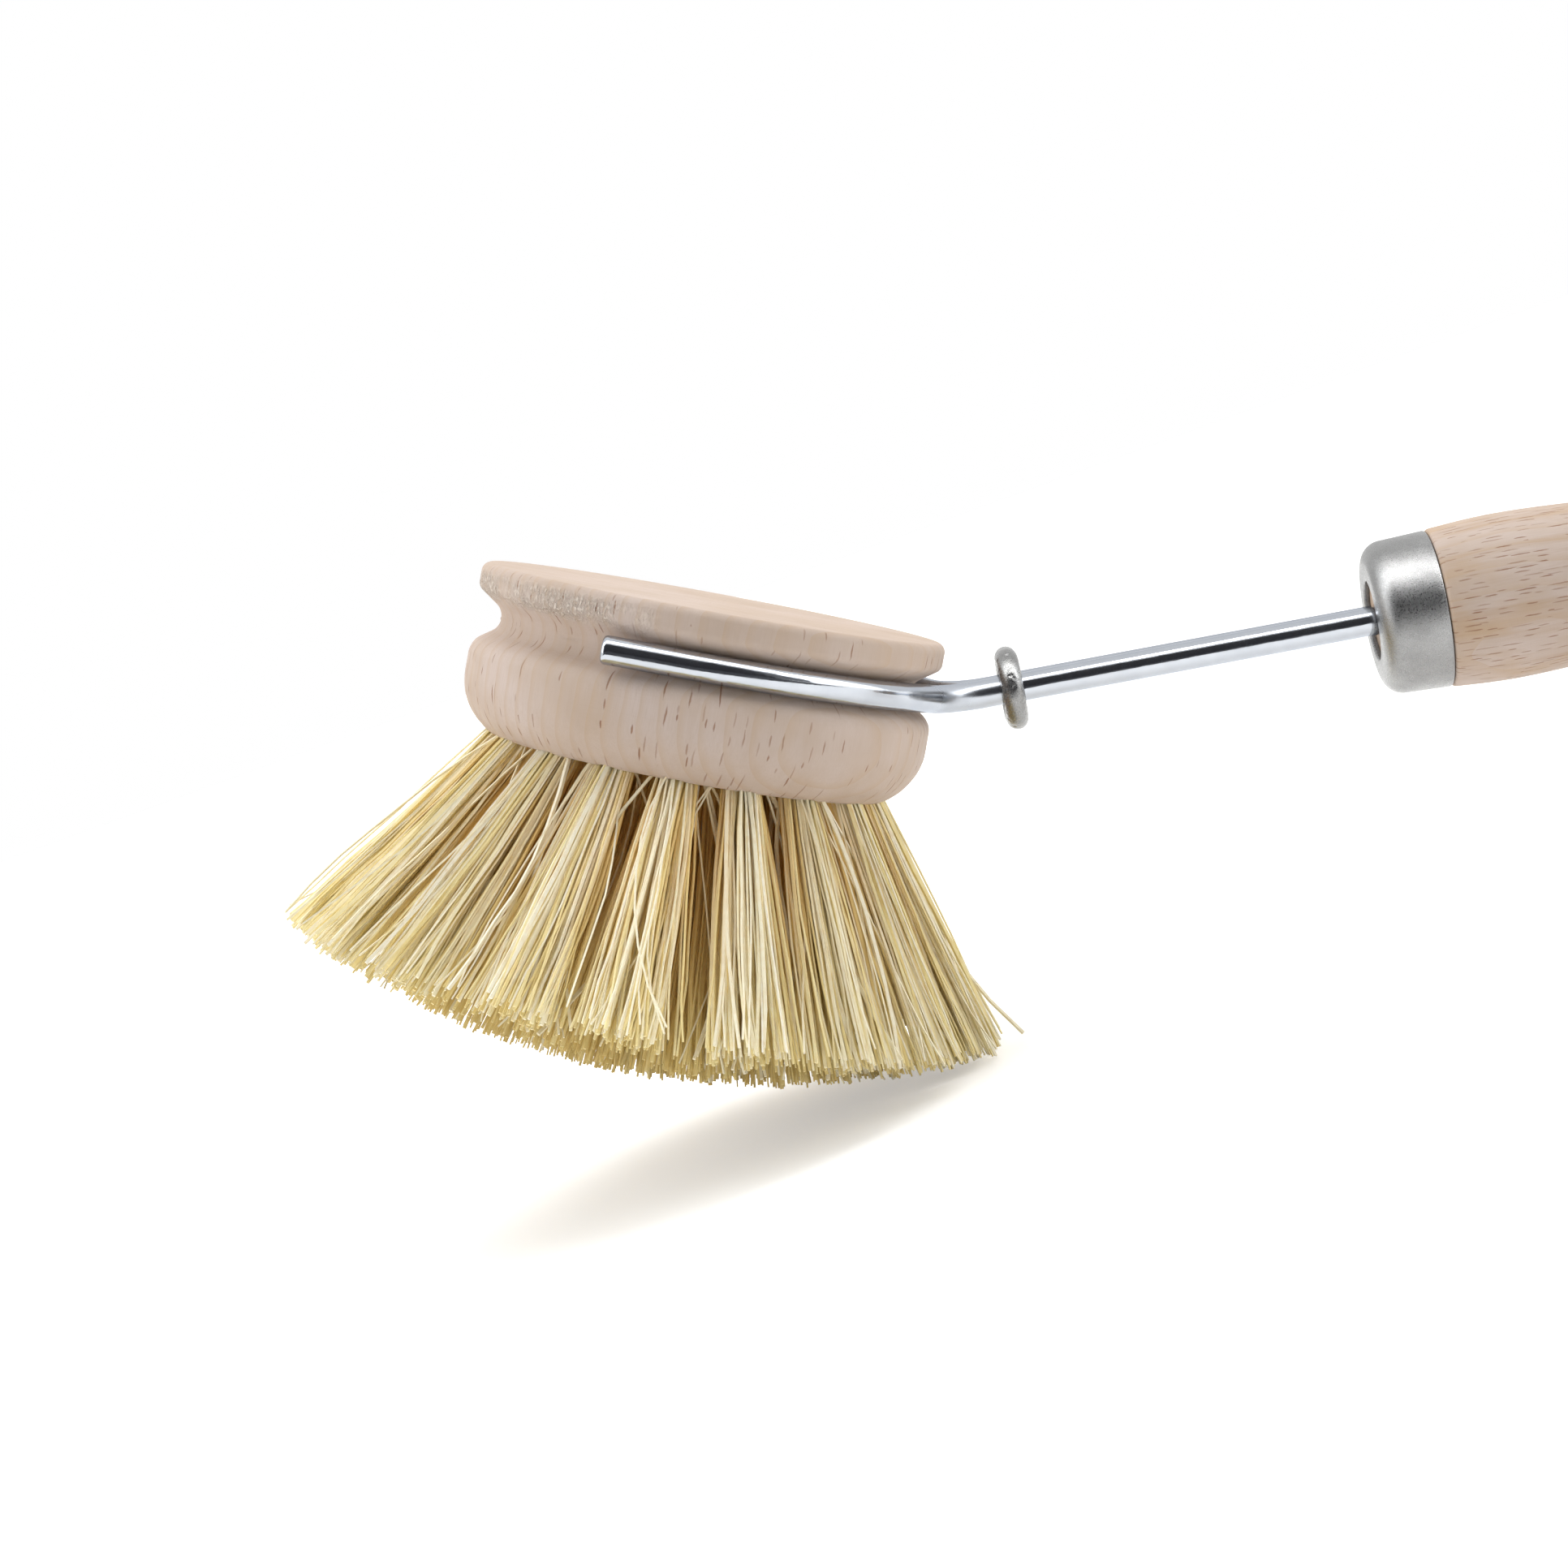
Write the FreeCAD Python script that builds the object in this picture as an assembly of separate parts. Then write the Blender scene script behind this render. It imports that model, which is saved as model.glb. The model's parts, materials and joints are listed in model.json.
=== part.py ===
import FreeCAD, Part
import math
import os

from FreeCAD import Placement, Rotation, Vector

# Dish brush with a replaceable turned head, sizes in millimetres.
# The head frame has its origin on the head's axis, level with the middle of the groove,
# and +X towards the handle. At the end the whole brush is tipped as it is put down,
# on the rim of its tufts and the end of its handle.

# Turned head
upper_flange_radius = 25.2
lower_flange_radius = 25.1
groove_bottom_radius = 22.3
groove_section_radius = 1.9
groove_flank_slope = 35.0
top_above_groove = 5.75
top_edge_round = 1.0
upper_lip_round = 1.0
lower_lip_round = 2.2
belly_level_drop = 6.0
underside_edge_radius = 21.4
underside_edge_drop = 12.0
underside_crown = 0.8

# Tufts, drilled holes and the flat wire anchors that hold the folded fibres
hole_radius = 2.0
hole_depth = 7.0
tuft_clearance = 0.06
tuft_sides = 20
tuft_gap = 0.4
rim_radius = 41.0
rim_drop = 34.6
dome_drop = 45.0
trim_overrun = 6.0
anchor_thickness = 0.4
anchor_height = 1.8
fold_thickness = 0.9

outer_count = 18
outer_root_radius = 19.5
outer_tip_radius = 36.0
middle_count = 12
middle_root_radius = 12.9
middle_tip_radius = 24.6
inner_count = 6
inner_root_radius = 6.7
inner_tip_radius = 13.0
centre_tip_half_width = 6.2

# Sprung wire fork
wire_radius = 1.5
groove_clearance = 0.3
prong_reach = 9.6
wrap_end_angle = 30.0
elbow_bend_radius = 7.0
shank_rise_angle = 21.0
shank_half_gap = 0.12
shank_spread_angle = 0.9
tip_round = 0.5
pivot_gap = 0.3
root_length = 30.0
bore_clearance = 0.05

# Lock ring
ring_wire_radius = 1.2
ring_side_clearance = 0.3
ring_height_clearance = 0.7
ring_from_elbow = 6.8

# Ferrule cap
ferrule_from_elbow = 45.85
ferrule_length = 7.05
ferrule_front_radius = 8.25
ferrule_rear_radius = 8.45
ferrule_wall = 0.6
ferrule_corner_round = 2.2
ferrule_hole_radius = 4.25
seat_clearance = 0.06

# Turned handle, measured from the front of the ferrule
handle_length = 146.0
shoulder_radius = 8.55
shoulder_round = 0.5
bulge_radius = 8.85
bulge_position = 12.5
neck_radius = 8.5
neck_position = 23.0
waist_radius = 7.1
waist_position = 58.0
swell_radius = 9.2
swell_position = 108.0
end_radius = 7.6
hanging_hole_radius = 2.5
hanging_hole_from_end = 13.0

cut_overrun = 1.0

UP = Vector(0, 0, 1)
ACROSS = Vector(0, 1, 0)
ALONG = Vector(1, 0, 0)

arm_radius = groove_bottom_radius + groove_clearance + wire_radius
shank_half_spacing = wire_radius + shank_half_gap
shank_tilt = Placement(Vector(), Rotation(ACROSS, -shank_rise_angle))
wood_face = ferrule_wall + seat_clearance
dome_rise = dome_drop - rim_drop
dome_radius = (rim_radius * rim_radius + dome_rise * dome_rise) / (2 * dome_rise)


def revolve(edges, axis):
    face = Part.Face(Part.Wire(edges))
    return face.revolve(Vector(), axis, 360)


def line(start, end):
    return Part.LineSegment(start, end).toShape()


def arc(start, middle, end):
    return Part.Arc(start, middle, end).toShape()


def quarter(start, corner_centre, end):
    """Quarter round between two points at one distance from its centre."""
    outward = (start - corner_centre) + (end - corner_centre)
    outward.normalize()
    radius = (start - corner_centre).Length
    return arc(start, corner_centre + outward * radius, end)


def underside_level(radius):
    share = radius / underside_edge_radius
    return -underside_edge_drop - underside_crown * (1 - share * share)


def dome_level(radius):
    return dome_radius - dome_drop - math.sqrt(dome_radius * dome_radius - radius * radius)


def groove_flank(side, flange_radius, lip_round):
    # from the round bottom of the groove up its sloping side and over the flange's lip
    slope = math.radians(groove_flank_slope)
    inset = Vector(-math.sin(slope), 0, side * math.cos(slope))
    groove_centre = ALONG * (groove_bottom_radius + groove_section_radius)
    start = groove_centre + inset * groove_section_radius
    run = flange_radius - lip_round * (1 - math.sin(slope)) - start.x
    lip_start = start + Vector(run, 0, side * run * math.tan(slope))
    lip_centre = lip_start + inset * lip_round
    lip_middle = lip_centre + (ALONG - inset).normalize() * lip_round
    lip_end = lip_centre + ALONG * lip_round
    return start, lip_start, lip_middle, lip_end


def head_profile():
    upper_start, upper_lip, upper_over, side_foot = groove_flank(1, upper_flange_radius, upper_lip_round)
    lower_start, lower_lip, lower_over, belly_top = groove_flank(-1, lower_flange_radius, lower_lip_round)
    top_centre = Vector(0, 0, top_above_groove)
    top_rim = Vector(upper_flange_radius - top_edge_round, 0, top_above_groove)
    side_top = Vector(upper_flange_radius, 0, top_above_groove - top_edge_round)
    groove_deep = Vector(groove_bottom_radius, 0, 0)
    belly = Vector(lower_flange_radius, 0, -belly_level_drop)
    foot = Vector(underside_edge_radius, 0, -underside_edge_drop)
    # the belly turns in on one arc that starts upright
    inward = belly.x - foot.x
    fall = belly.z - foot.z
    belly_round = (inward * inward + fall * fall) / (2 * inward)
    half_turn = math.asin(fall / belly_round) / 2
    belly_turn = belly + Vector(math.cos(half_turn) - 1, 0, -math.sin(half_turn)) * belly_round
    half_foot = underside_edge_radius / 2
    crown = Vector(half_foot, 0, underside_level(half_foot))
    bottom = Vector(0, 0, underside_level(0))
    return [
        line(top_centre, top_rim),
        quarter(top_rim, top_rim - UP * top_edge_round, side_top),
        line(side_top, side_foot),
        arc(side_foot, upper_over, upper_lip),
        line(upper_lip, upper_start),
        arc(upper_start, groove_deep, lower_start),
        line(lower_start, lower_lip),
        arc(lower_lip, lower_over, belly_top),
        line(belly_top, belly),
        arc(belly, belly_turn, foot),
        arc(foot, crown, bottom),
        line(bottom, top_centre),
    ]


class TuftRing:
    """One ring of equal tufts: their roots, tips and the cell each tip may fill."""

    def __init__(self, name, count, root_radius, tip_radius, tip_half_depth, tip_half_width):
        self.name = name
        self.count = count
        self.root = Vector(root_radius, 0, underside_level(root_radius))
        self.tip = Vector(tip_radius, 0, dome_level(tip_radius))
        self.reach = (self.tip - self.root).Length
        self.axis = (self.tip - self.root).normalize()
        self.outward = ACROSS.cross(self.axis) * -1
        self.mouth = tuft_clearance - hole_radius * self.axis.x / self.axis.z
        self.half_depth = tip_half_depth
        self.half_width = tip_half_width

    def turned(self, shape, index):
        turn = Rotation(UP, 360 * (index + 1 / 2) / self.count)
        copy = shape.copy()
        copy.Placement = Placement(Vector(), turn)
        return copy


def cell_half_width(count, tip_radius, half_depth):
    """Half width of an oval tip that keeps its gap to the next tuft of the ring."""
    half_pitch = math.radians(180 / count)
    reach = tip_radius * math.sin(half_pitch) - tuft_gap / 2
    depth = half_depth * math.sin(half_pitch)
    return math.sqrt(reach * reach - depth * depth) / math.cos(half_pitch)


def tuft_rings():
    boundary_outer = (outer_tip_radius + middle_tip_radius) / 2
    boundary_middle = (middle_tip_radius + inner_tip_radius) / 2
    boundary_inner = centre_tip_half_width + tuft_gap
    outer_depth = min(rim_radius - outer_tip_radius, outer_tip_radius - boundary_outer - tuft_gap / 2)
    middle_depth = min(boundary_outer - middle_tip_radius, middle_tip_radius - boundary_middle) - tuft_gap / 2
    inner_depth = min(boundary_middle - inner_tip_radius, inner_tip_radius - boundary_inner) - tuft_gap / 2
    outer_width = cell_half_width(outer_count, outer_tip_radius, outer_depth)
    middle_width = cell_half_width(middle_count, middle_tip_radius, middle_depth)
    inner_width = cell_half_width(inner_count, inner_tip_radius, inner_depth)
    return [
        TuftRing("outer", outer_count, outer_root_radius, outer_tip_radius, outer_depth, outer_width),
        TuftRing("middle", middle_count, middle_root_radius, middle_tip_radius, middle_depth, middle_width),
        TuftRing("inner", inner_count, inner_root_radius, inner_tip_radius, inner_depth, inner_width),
        TuftRing("centre", 1, 0, 0, centre_tip_half_width, centre_tip_half_width),
    ]


def oval(ring, distance, half_depth, half_width):
    centre = ring.root + ring.axis * distance
    points = []
    for side in range(tuft_sides):
        angle = 2 * math.pi * side / tuft_sides
        offset = ring.outward * (half_depth * math.cos(angle)) + ACROSS * (half_width * math.sin(angle))
        points.append(centre + offset)
    return Part.makePolygon(points + points[:1])


def trim_dome():
    """Ball whose lowest part is the domed trim of the fibre tips."""
    return Part.makeSphere(dome_radius, UP * (dome_radius - dome_drop), ALONG)


def anchor(ring, clearance):
    """Flat wire driven across the fold, with room around it when it is used as a cut."""
    half_length = hole_radius - tuft_clearance + (cut_overrun if clearance else 0)
    half_thickness = anchor_thickness / 2 + clearance
    height = anchor_height + 2 * clearance
    start = ring.root - ring.axis * (hole_depth - fold_thickness + clearance)
    corner = start - ring.outward * half_thickness - ACROSS * half_length
    outline = [corner, corner + ACROSS * (2 * half_length)]
    outline.append(outline[1] + ring.outward * (2 * half_thickness))
    outline.append(outline[0] + ring.outward * (2 * half_thickness))
    return Part.Face(Part.makePolygon(outline + outline[:1])).extrude(ring.axis * height)


def tuft(ring, dome):
    root_radius = hole_radius - tuft_clearance
    stretch = (ring.reach + trim_overrun - ring.mouth) / (ring.reach - ring.mouth)
    end_depth = root_radius + (ring.half_depth - root_radius) * stretch
    end_width = root_radius + (ring.half_width - root_radius) * stretch
    sections = [
        oval(ring, tuft_clearance - hole_depth, root_radius, root_radius),
        oval(ring, ring.mouth, root_radius, root_radius),
        oval(ring, ring.reach + trim_overrun, end_depth, end_width),
    ]
    bundle = Part.makeLoft(sections, True, True)
    return bundle.common(dome).cut(anchor(ring, tuft_clearance))


def drilled_hole(ring):
    start = ring.root + ring.axis * (2 * hole_radius)
    return Part.makeCylinder(hole_radius, hole_depth + 2 * hole_radius, start, ring.axis * -1)


def head_block(rings):
    blank = revolve(head_profile(), UP)
    holes = [ring.turned(drilled_hole(ring), index) for ring in rings for index in range(ring.count)]
    return blank.cut(Part.makeCompound(holes))


def pipe(path, start, heading, radius):
    section = Part.Wire(Part.makeCircle(radius, start, heading))
    return Part.Wire(path).makePipeShell([section], True, False)


def spread_heading(side):
    """Direction of one wire from the ferrule forward to the elbow, in the head frame."""
    spread = math.radians(shank_spread_angle)
    local = Vector(-math.cos(spread), side * math.sin(spread), 0)
    return shank_tilt.multVec(local)


def wire_line_points(side):
    """Corner where the wire leaves the wrap, elbow corner and pivot at the handle's wood."""
    angle = math.radians(wrap_end_angle)
    leave = Vector(arm_radius * math.cos(angle), side * arm_radius * math.sin(angle), 0)
    run_in = Vector(math.sin(angle), -side * math.cos(angle), 0)
    pivot_from_elbow = ferrule_from_elbow + wood_face
    elbow_spacing = shank_half_spacing + pivot_from_elbow * math.tan(math.radians(shank_spread_angle))
    elbow = leave + run_in * ((abs(leave.y) - elbow_spacing) / math.cos(angle))
    pivot = elbow - spread_heading(side) * (pivot_from_elbow / math.cos(math.radians(shank_spread_angle)))
    return leave, elbow, pivot


def elbow_origin():
    """Point midway between the two elbows, where the shank's own frame begins."""
    return Vector(wire_line_points(1)[1].x, 0, 0)


def shank_place():
    return Placement(elbow_origin(), shank_tilt.Rotation)


def handle_place():
    return Placement(elbow_origin() + shank_tilt.multVec(ALONG * ferrule_from_elbow), shank_tilt.Rotation)


def fork_arm(side):
    leave, elbow, pivot = wire_line_points(side)
    tip = Vector(-prong_reach, side * arm_radius, 0)
    beside = Vector(0, side * arm_radius, 0)
    half_wrap = math.radians((90 + wrap_end_angle) / 2)
    wrapped = Vector(arm_radius * math.cos(half_wrap), side * arm_radius * math.sin(half_wrap), 0)
    inward = (leave - elbow).normalize()
    rearward = (pivot - elbow).normalize()
    half_turn = (math.pi - inward.getAngle(rearward)) / 2
    trim = elbow_bend_radius * math.tan(half_turn)
    bisector = (inward + rearward).normalize()
    bend_middle = elbow + bisector * (elbow_bend_radius / math.cos(half_turn) - elbow_bend_radius)
    bend_start = elbow + inward * trim
    bend_end = elbow + rearward * trim
    end = pivot - rearward * pivot_gap
    path = [
        line(tip, beside),
        arc(beside, wrapped, leave),
        line(leave, bend_start),
        arc(bend_start, bend_middle, bend_end),
        line(bend_end, end),
    ]
    wire = pipe(path, tip, ALONG, wire_radius)
    tip_edges = [edge for edge in wire.Edges if abs(edge.BoundBox.XMax + prong_reach) < wire_radius]
    return wire.makeFillet(tip_round, tip_edges[:1])


def wire_root(side):
    """Buried end of one wire, rounded where it was driven into the bore."""
    start = Vector(wood_face, side * shank_half_spacing, 0)
    root = Part.makeCylinder(wire_radius, root_length, start, ALONG)
    far_edges = [edge for edge in root.Edges if edge.BoundBox.XMin > root_length]
    root = root.makeFillet(tip_round, far_edges[:1])
    root.Placement = handle_place()
    return root


def lock_ring():
    """Oval of round wire: two straights and two half turns round the shank wires."""
    shank_spread = (ferrule_from_elbow + wood_face - ring_from_elbow)
    wire_offset = shank_half_spacing + shank_spread * math.tan(math.radians(shank_spread_angle))
    turn_radius = wire_radius + ring_height_clearance + ring_wire_radius
    half_width = wire_offset + wire_radius + ring_side_clearance + ring_wire_radius
    half_straight = half_width - turn_radius
    top_left = Vector(0, half_straight, turn_radius)
    top_right = Vector(0, -half_straight, turn_radius)
    foot_right = Vector(0, -half_straight, -turn_radius)
    foot_left = Vector(0, half_straight, -turn_radius)
    path = [
        line(top_left, top_right),
        arc(top_right, Vector(0, -half_width, 0), foot_right),
        line(foot_right, foot_left),
        arc(foot_left, Vector(0, half_width, 0), top_left),
    ]
    ring = pipe(path, top_left, ACROSS, ring_wire_radius)
    ring.Placement = shank_place().multiply(Placement(ALONG * ring_from_elbow, Rotation()))
    return ring


def ferrule():
    """Drawn cap with a rounded front edge and a round mouth for the wires."""
    inner_round = ferrule_corner_round - ferrule_wall
    mouth_front = Vector(0, 0, ferrule_hole_radius)
    front_rim = Vector(0, 0, ferrule_front_radius - ferrule_corner_round)
    side_front = Vector(ferrule_corner_round, 0, ferrule_front_radius)
    side_rear = Vector(ferrule_length, 0, ferrule_rear_radius)
    lip_rear = side_rear - UP * ferrule_wall
    lip_front = side_front - UP * ferrule_wall
    plate_rim = Vector(ferrule_wall, 0, lip_front.z - inner_round)
    mouth_rear = Vector(ferrule_wall, 0, ferrule_hole_radius)
    edges = [
        line(mouth_front, front_rim),
        quarter(front_rim, front_rim + ALONG * ferrule_corner_round, side_front),
        line(side_front, side_rear),
        line(side_rear, lip_rear),
        line(lip_rear, lip_front),
        quarter(lip_front, lip_front - UP * inner_round, plate_rim),
        line(plate_rim, mouth_rear),
        line(mouth_rear, mouth_front),
    ]
    cap = revolve(edges, ALONG)
    cap.Placement = handle_place()
    return cap


def handle_profile():
    tenon_round = ferrule_corner_round - ferrule_wall
    tenon_front_radius = ferrule_front_radius - ferrule_wall - seat_clearance
    tenon_rear_radius = ferrule_rear_radius - ferrule_wall - seat_clearance
    shoulder = ferrule_length + seat_clearance
    face_centre = Vector(wood_face, 0, 0)
    face_rim = Vector(wood_face, 0, tenon_front_radius - tenon_round)
    tenon_front = Vector(wood_face + tenon_round, 0, tenon_front_radius)
    tenon_rear = Vector(shoulder, 0, tenon_rear_radius)
    step_foot = Vector(shoulder, 0, shoulder_radius - shoulder_round)
    step_top = Vector(shoulder + shoulder_round, 0, shoulder_radius)
    end_centre = handle_length - end_radius
    end_tangent = Vector(end_centre, 0, end_radius)
    side = Part.BSplineCurve()
    side.interpolate([
        step_top,
        Vector(bulge_position, 0, bulge_radius),
        Vector(neck_position, 0, neck_radius),
        Vector(waist_position, 0, waist_radius),
        Vector(swell_position, 0, swell_radius),
        end_tangent,
    ])
    end_middle = Vector(end_centre, 0, 0) + (ALONG + UP).normalize() * end_radius
    end_point = Vector(handle_length, 0, 0)
    return [
        line(face_centre, face_rim),
        quarter(face_rim, face_rim + ALONG * tenon_round, tenon_front),
        line(tenon_front, tenon_rear),
        line(tenon_rear, step_foot),
        quarter(step_foot, step_foot + ALONG * shoulder_round, step_top),
        side.toShape(),
        arc(end_tangent, end_middle, end_point),
        line(end_point, face_centre),
    ]


def wire_bore():
    """Two drilled holes side by side, open to each other, that take the wire ends."""
    radius = wire_radius + bore_clearance
    depth = root_length + bore_clearance + cut_overrun
    start = Vector(wood_face - cut_overrun, 0, 0)
    offset = ACROSS * shank_half_spacing
    left = Part.makeCylinder(radius, depth, start + offset, ALONG)
    right = Part.makeCylinder(radius, depth, start - offset, ALONG)
    return left.fuse(right)


def handle():
    blank = revolve(handle_profile(), ALONG)
    top = Vector(handle_length - hanging_hole_from_end, 0, swell_radius + cut_overrun)
    hanging_hole = Part.makeCylinder(hanging_hole_radius, 2 * top.z, top, UP * -1)
    turned = blank.cut(wire_bore()).cut(hanging_hole)
    turned.Placement = handle_place()
    return turned


def rest_tilt():
    """Angle that brings the tuft rim and the handle's end down onto one surface."""
    end_centre = handle_place().multVec(ALONG * (handle_length - end_radius))
    rim = Vector(rim_radius, 0, -rim_drop)
    reach = end_centre - rim
    rise = math.atan2(reach.z, reach.x)
    return math.degrees(rise - math.asin(end_radius / reach.Length))


def build():
    rings = tuft_rings()
    dome = trim_dome()
    pieces = {
        "head_block": head_block(rings),
        "left_fork_arm": fork_arm(1),
        "right_fork_arm": fork_arm(-1),
        "left_wire_root": wire_root(1),
        "right_wire_root": wire_root(-1),
        "lock_ring": lock_ring(),
        "ferrule": ferrule(),
        "handle": handle(),
    }
    for ring in rings:
        bundle = tuft(ring, dome)
        staple = anchor(ring, 0)
        staples = [ring.turned(staple, index) for index in range(ring.count)]
        pieces[ring.name + "_tuft_anchors"] = Part.makeCompound(staples)
        for index in range(ring.count):
            name = "{}_tuft_{:02d}".format(ring.name, index + 1)
            pieces[name] = ring.turned(bundle, index)
    return pieces


def rest_place(pieces):
    """Tips the brush to rest and sets its lowest middle point on the origin."""
    tip = Placement(Vector(), Rotation(ACROSS, rest_tilt()))
    tipped = [piece.copy() for piece in pieces.values()]
    for piece in tipped:
        piece.Placement = tip.multiply(piece.Placement)
    box = Part.makeCompound(tipped).optimalBoundingBox(False)
    move = Vector(-box.Center.x, -box.Center.y, -box.ZMin)
    return Placement(move, tip.Rotation)


def main():
    os.makedirs("parts", exist_ok=True)
    pieces = build()
    place = rest_place(pieces)
    for name, piece in pieces.items():
        piece.Placement = place.multiply(piece.Placement)
        piece.exportStep("parts/" + name + ".step")
        print(name, len(piece.Solids), piece.isValid(), round(piece.Volume))


if __name__ == "__main__":
    main()
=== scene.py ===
import json
import math

import bmesh
import bpy
from mathutils import Matrix, Vector, noise


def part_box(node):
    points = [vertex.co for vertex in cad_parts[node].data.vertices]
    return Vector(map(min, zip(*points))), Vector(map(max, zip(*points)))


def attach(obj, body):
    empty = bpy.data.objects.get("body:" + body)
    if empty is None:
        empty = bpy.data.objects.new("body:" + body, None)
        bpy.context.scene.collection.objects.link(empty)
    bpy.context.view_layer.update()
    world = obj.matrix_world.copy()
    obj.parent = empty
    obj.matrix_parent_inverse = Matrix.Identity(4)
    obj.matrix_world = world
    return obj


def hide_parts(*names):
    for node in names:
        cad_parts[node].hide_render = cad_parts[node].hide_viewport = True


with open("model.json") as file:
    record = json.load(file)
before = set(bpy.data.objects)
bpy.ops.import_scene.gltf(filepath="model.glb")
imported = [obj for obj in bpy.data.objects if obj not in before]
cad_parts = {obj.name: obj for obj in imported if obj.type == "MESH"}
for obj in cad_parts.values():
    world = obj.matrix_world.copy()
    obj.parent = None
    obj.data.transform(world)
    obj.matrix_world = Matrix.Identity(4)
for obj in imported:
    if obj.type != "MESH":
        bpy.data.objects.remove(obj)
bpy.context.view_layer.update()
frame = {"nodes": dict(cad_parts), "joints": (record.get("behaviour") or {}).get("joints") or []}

mm = 0.001
joints = {joint["name"]: joint for joint in frame["joints"]}

# the head's own frame: axis up, +X towards the handle
headAxis = Vector(joints["head_spin"]["axis"])
headOrigin = Vector(joints["head_spin"]["pos_m"])
acrossAxis = Vector((0, 1, 0))
headAlong = acrossAxis.cross(headAxis).normalized()

# the shank and handle share one axis
shankAlong = Vector(joints["ring_slide"]["axis"])
shankUp = Vector(joints["right_arm_spread"]["axis"])
pivots = {1: Vector(joints["left_arm_spread"]["pos_m"]), -1: Vector(joints["right_arm_spread"]["pos_m"])}
pivotMiddle = (pivots[1] + pivots[-1]) / 2


def frameMatrix(xAxis, yAxis, zAxis, origin):
    matrix = Matrix((xAxis, yAxis, zAxis)).transposed().to_4x4()
    matrix.translation = origin
    return matrix


headMatrix = frameMatrix(headAlong, acrossAxis, headAxis, headOrigin)


# mesh helpers

smallest = 1e-7


def addObject(name, data):
    item = bpy.data.objects.new(name, data)
    bpy.context.scene.collection.objects.link(item)
    return item


def setMaterial(mesh, material):
    mesh.materials.clear()
    mesh.materials.append(material)


def keepMesh(name, mesh, body, nodeNames, material, sharpAngle=35):
    piece = addObject(name, mesh)
    mesh.shade_smooth()
    mesh.set_sharp_from_angle(angle=math.radians(sharpAngle))
    setMaterial(mesh, material)
    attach(piece, body)
    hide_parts(*nodeNames)


def builtMesh(name, build):
    mesh = bpy.data.meshes.new(name)
    build.to_mesh(mesh)
    build.free()
    return mesh


def evaluatedMesh(item):
    bpy.context.view_layer.update()
    return bpy.data.meshes.new_from_object(item.evaluated_get(bpy.context.evaluated_depsgraph_get()))


def arcPoints(centre, radius, startAngle, endAngle, count):
    points = []
    for step in range(count + 1):
        angle = math.radians(startAngle + (endAngle - startAngle) * step / count)
        points.append((centre[0] + radius * math.cos(angle), centre[1] + radius * math.sin(angle)))
    return points


def straightPoints(first, last, count):
    return [(first[0] + (last[0] - first[0]) * step / count, first[1] + (last[1] - first[1]) * step / count)
            for step in range(count + 1)]


def joinRuns(*runs):
    points = []
    for run in runs:
        for point in run:
            if not points or math.hypot(point[0] - points[-1][0], point[1] - points[-1][1]) > smallest:
                points.append(point)
    return points


def bridgeRings(build, rings, closed):
    # faces from ring to ring; a ring of one point is a pole
    sides = max(len(ring) for ring in rings)
    pairs = list(zip(rings, rings[1:]))
    if closed:
        pairs.append((rings[-1], rings[0]))
    for low, high in pairs:
        shift = 0
        if closed and high is rings[0]:
            shift = min(range(sides), key=lambda offset: (low[0].co - high[offset].co).length)
        for step in range(sides):
            after = (step + 1) % sides
            corners = [low[step % len(low)], low[after % len(low)],
                       high[(after + shift) % len(high)], high[(step + shift) % len(high)]]
            unique = list(dict.fromkeys(corners))
            if len(unique) > 2:
                build.faces.new(unique)


def spinMesh(name, profile, segments, matrix, closed=False):
    # profile is (radius, level) about the local Z axis
    build = bmesh.new()
    rings = []
    for radius, level in profile:
        count = segments if radius > smallest else 1
        reach = radius if radius > smallest else 0
        angles = [2 * math.pi * step / segments for step in range(count)]
        rings.append([build.verts.new((reach * math.cos(angle), reach * math.sin(angle), level))
                      for angle in angles])
    bridgeRings(build, rings, closed)
    bmesh.ops.recalc_face_normals(build, faces=build.faces)
    mesh = builtMesh(name, build)
    mesh.transform(matrix)
    return mesh


def sweepMesh(name, path, radii, sides, closed=False):
    # round tube along the path, with frames carried from point to point
    build = bmesh.new()
    count = len(path)
    tangents = []
    for index in range(count):
        before = path[index - 1] if index or closed else path[0]
        after = path[(index + 1) % count] if index + 1 < count or closed else path[-1]
        tangents.append((after - before).normalized())
    side = tangents[0].orthogonal().normalized()
    rings = []
    for point, tangent, radius in zip(path, tangents, radii):
        side = (side - tangent * side.dot(tangent)).normalized()
        other = tangent.cross(side)
        angles = [2 * math.pi * step / sides for step in range(sides)]
        rings.append([build.verts.new(point + (side * math.cos(angle) + other * math.sin(angle)) * radius)
                      for angle in angles])
    bridgeRings(build, rings, closed)
    if not closed:
        build.faces.new(rings[0])
        build.faces.new(rings[-1])
    bmesh.ops.recalc_face_normals(build, faces=build.faces)
    return builtMesh(name, build)


def addDrill(build, radius, length, sides, matrix):
    bmesh.ops.create_cone(build, cap_ends=True, segments=sides, radius1=radius, radius2=radius, depth=length,
                          matrix=matrix)


def cutMesh(mesh, cutter):
    # the first mesh less the second, as a new mesh
    holder = addObject("cutHolder", mesh)
    tool = addObject("cutTool", cutter)
    modifier = holder.modifiers.new("cut", "BOOLEAN")
    modifier.operation = "DIFFERENCE"
    modifier.solver = "EXACT"
    modifier.object = tool
    result = evaluatedMesh(holder)
    result.name = mesh.name
    bpy.data.objects.remove(holder)
    bpy.data.objects.remove(tool)
    return result


# node trees

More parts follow.
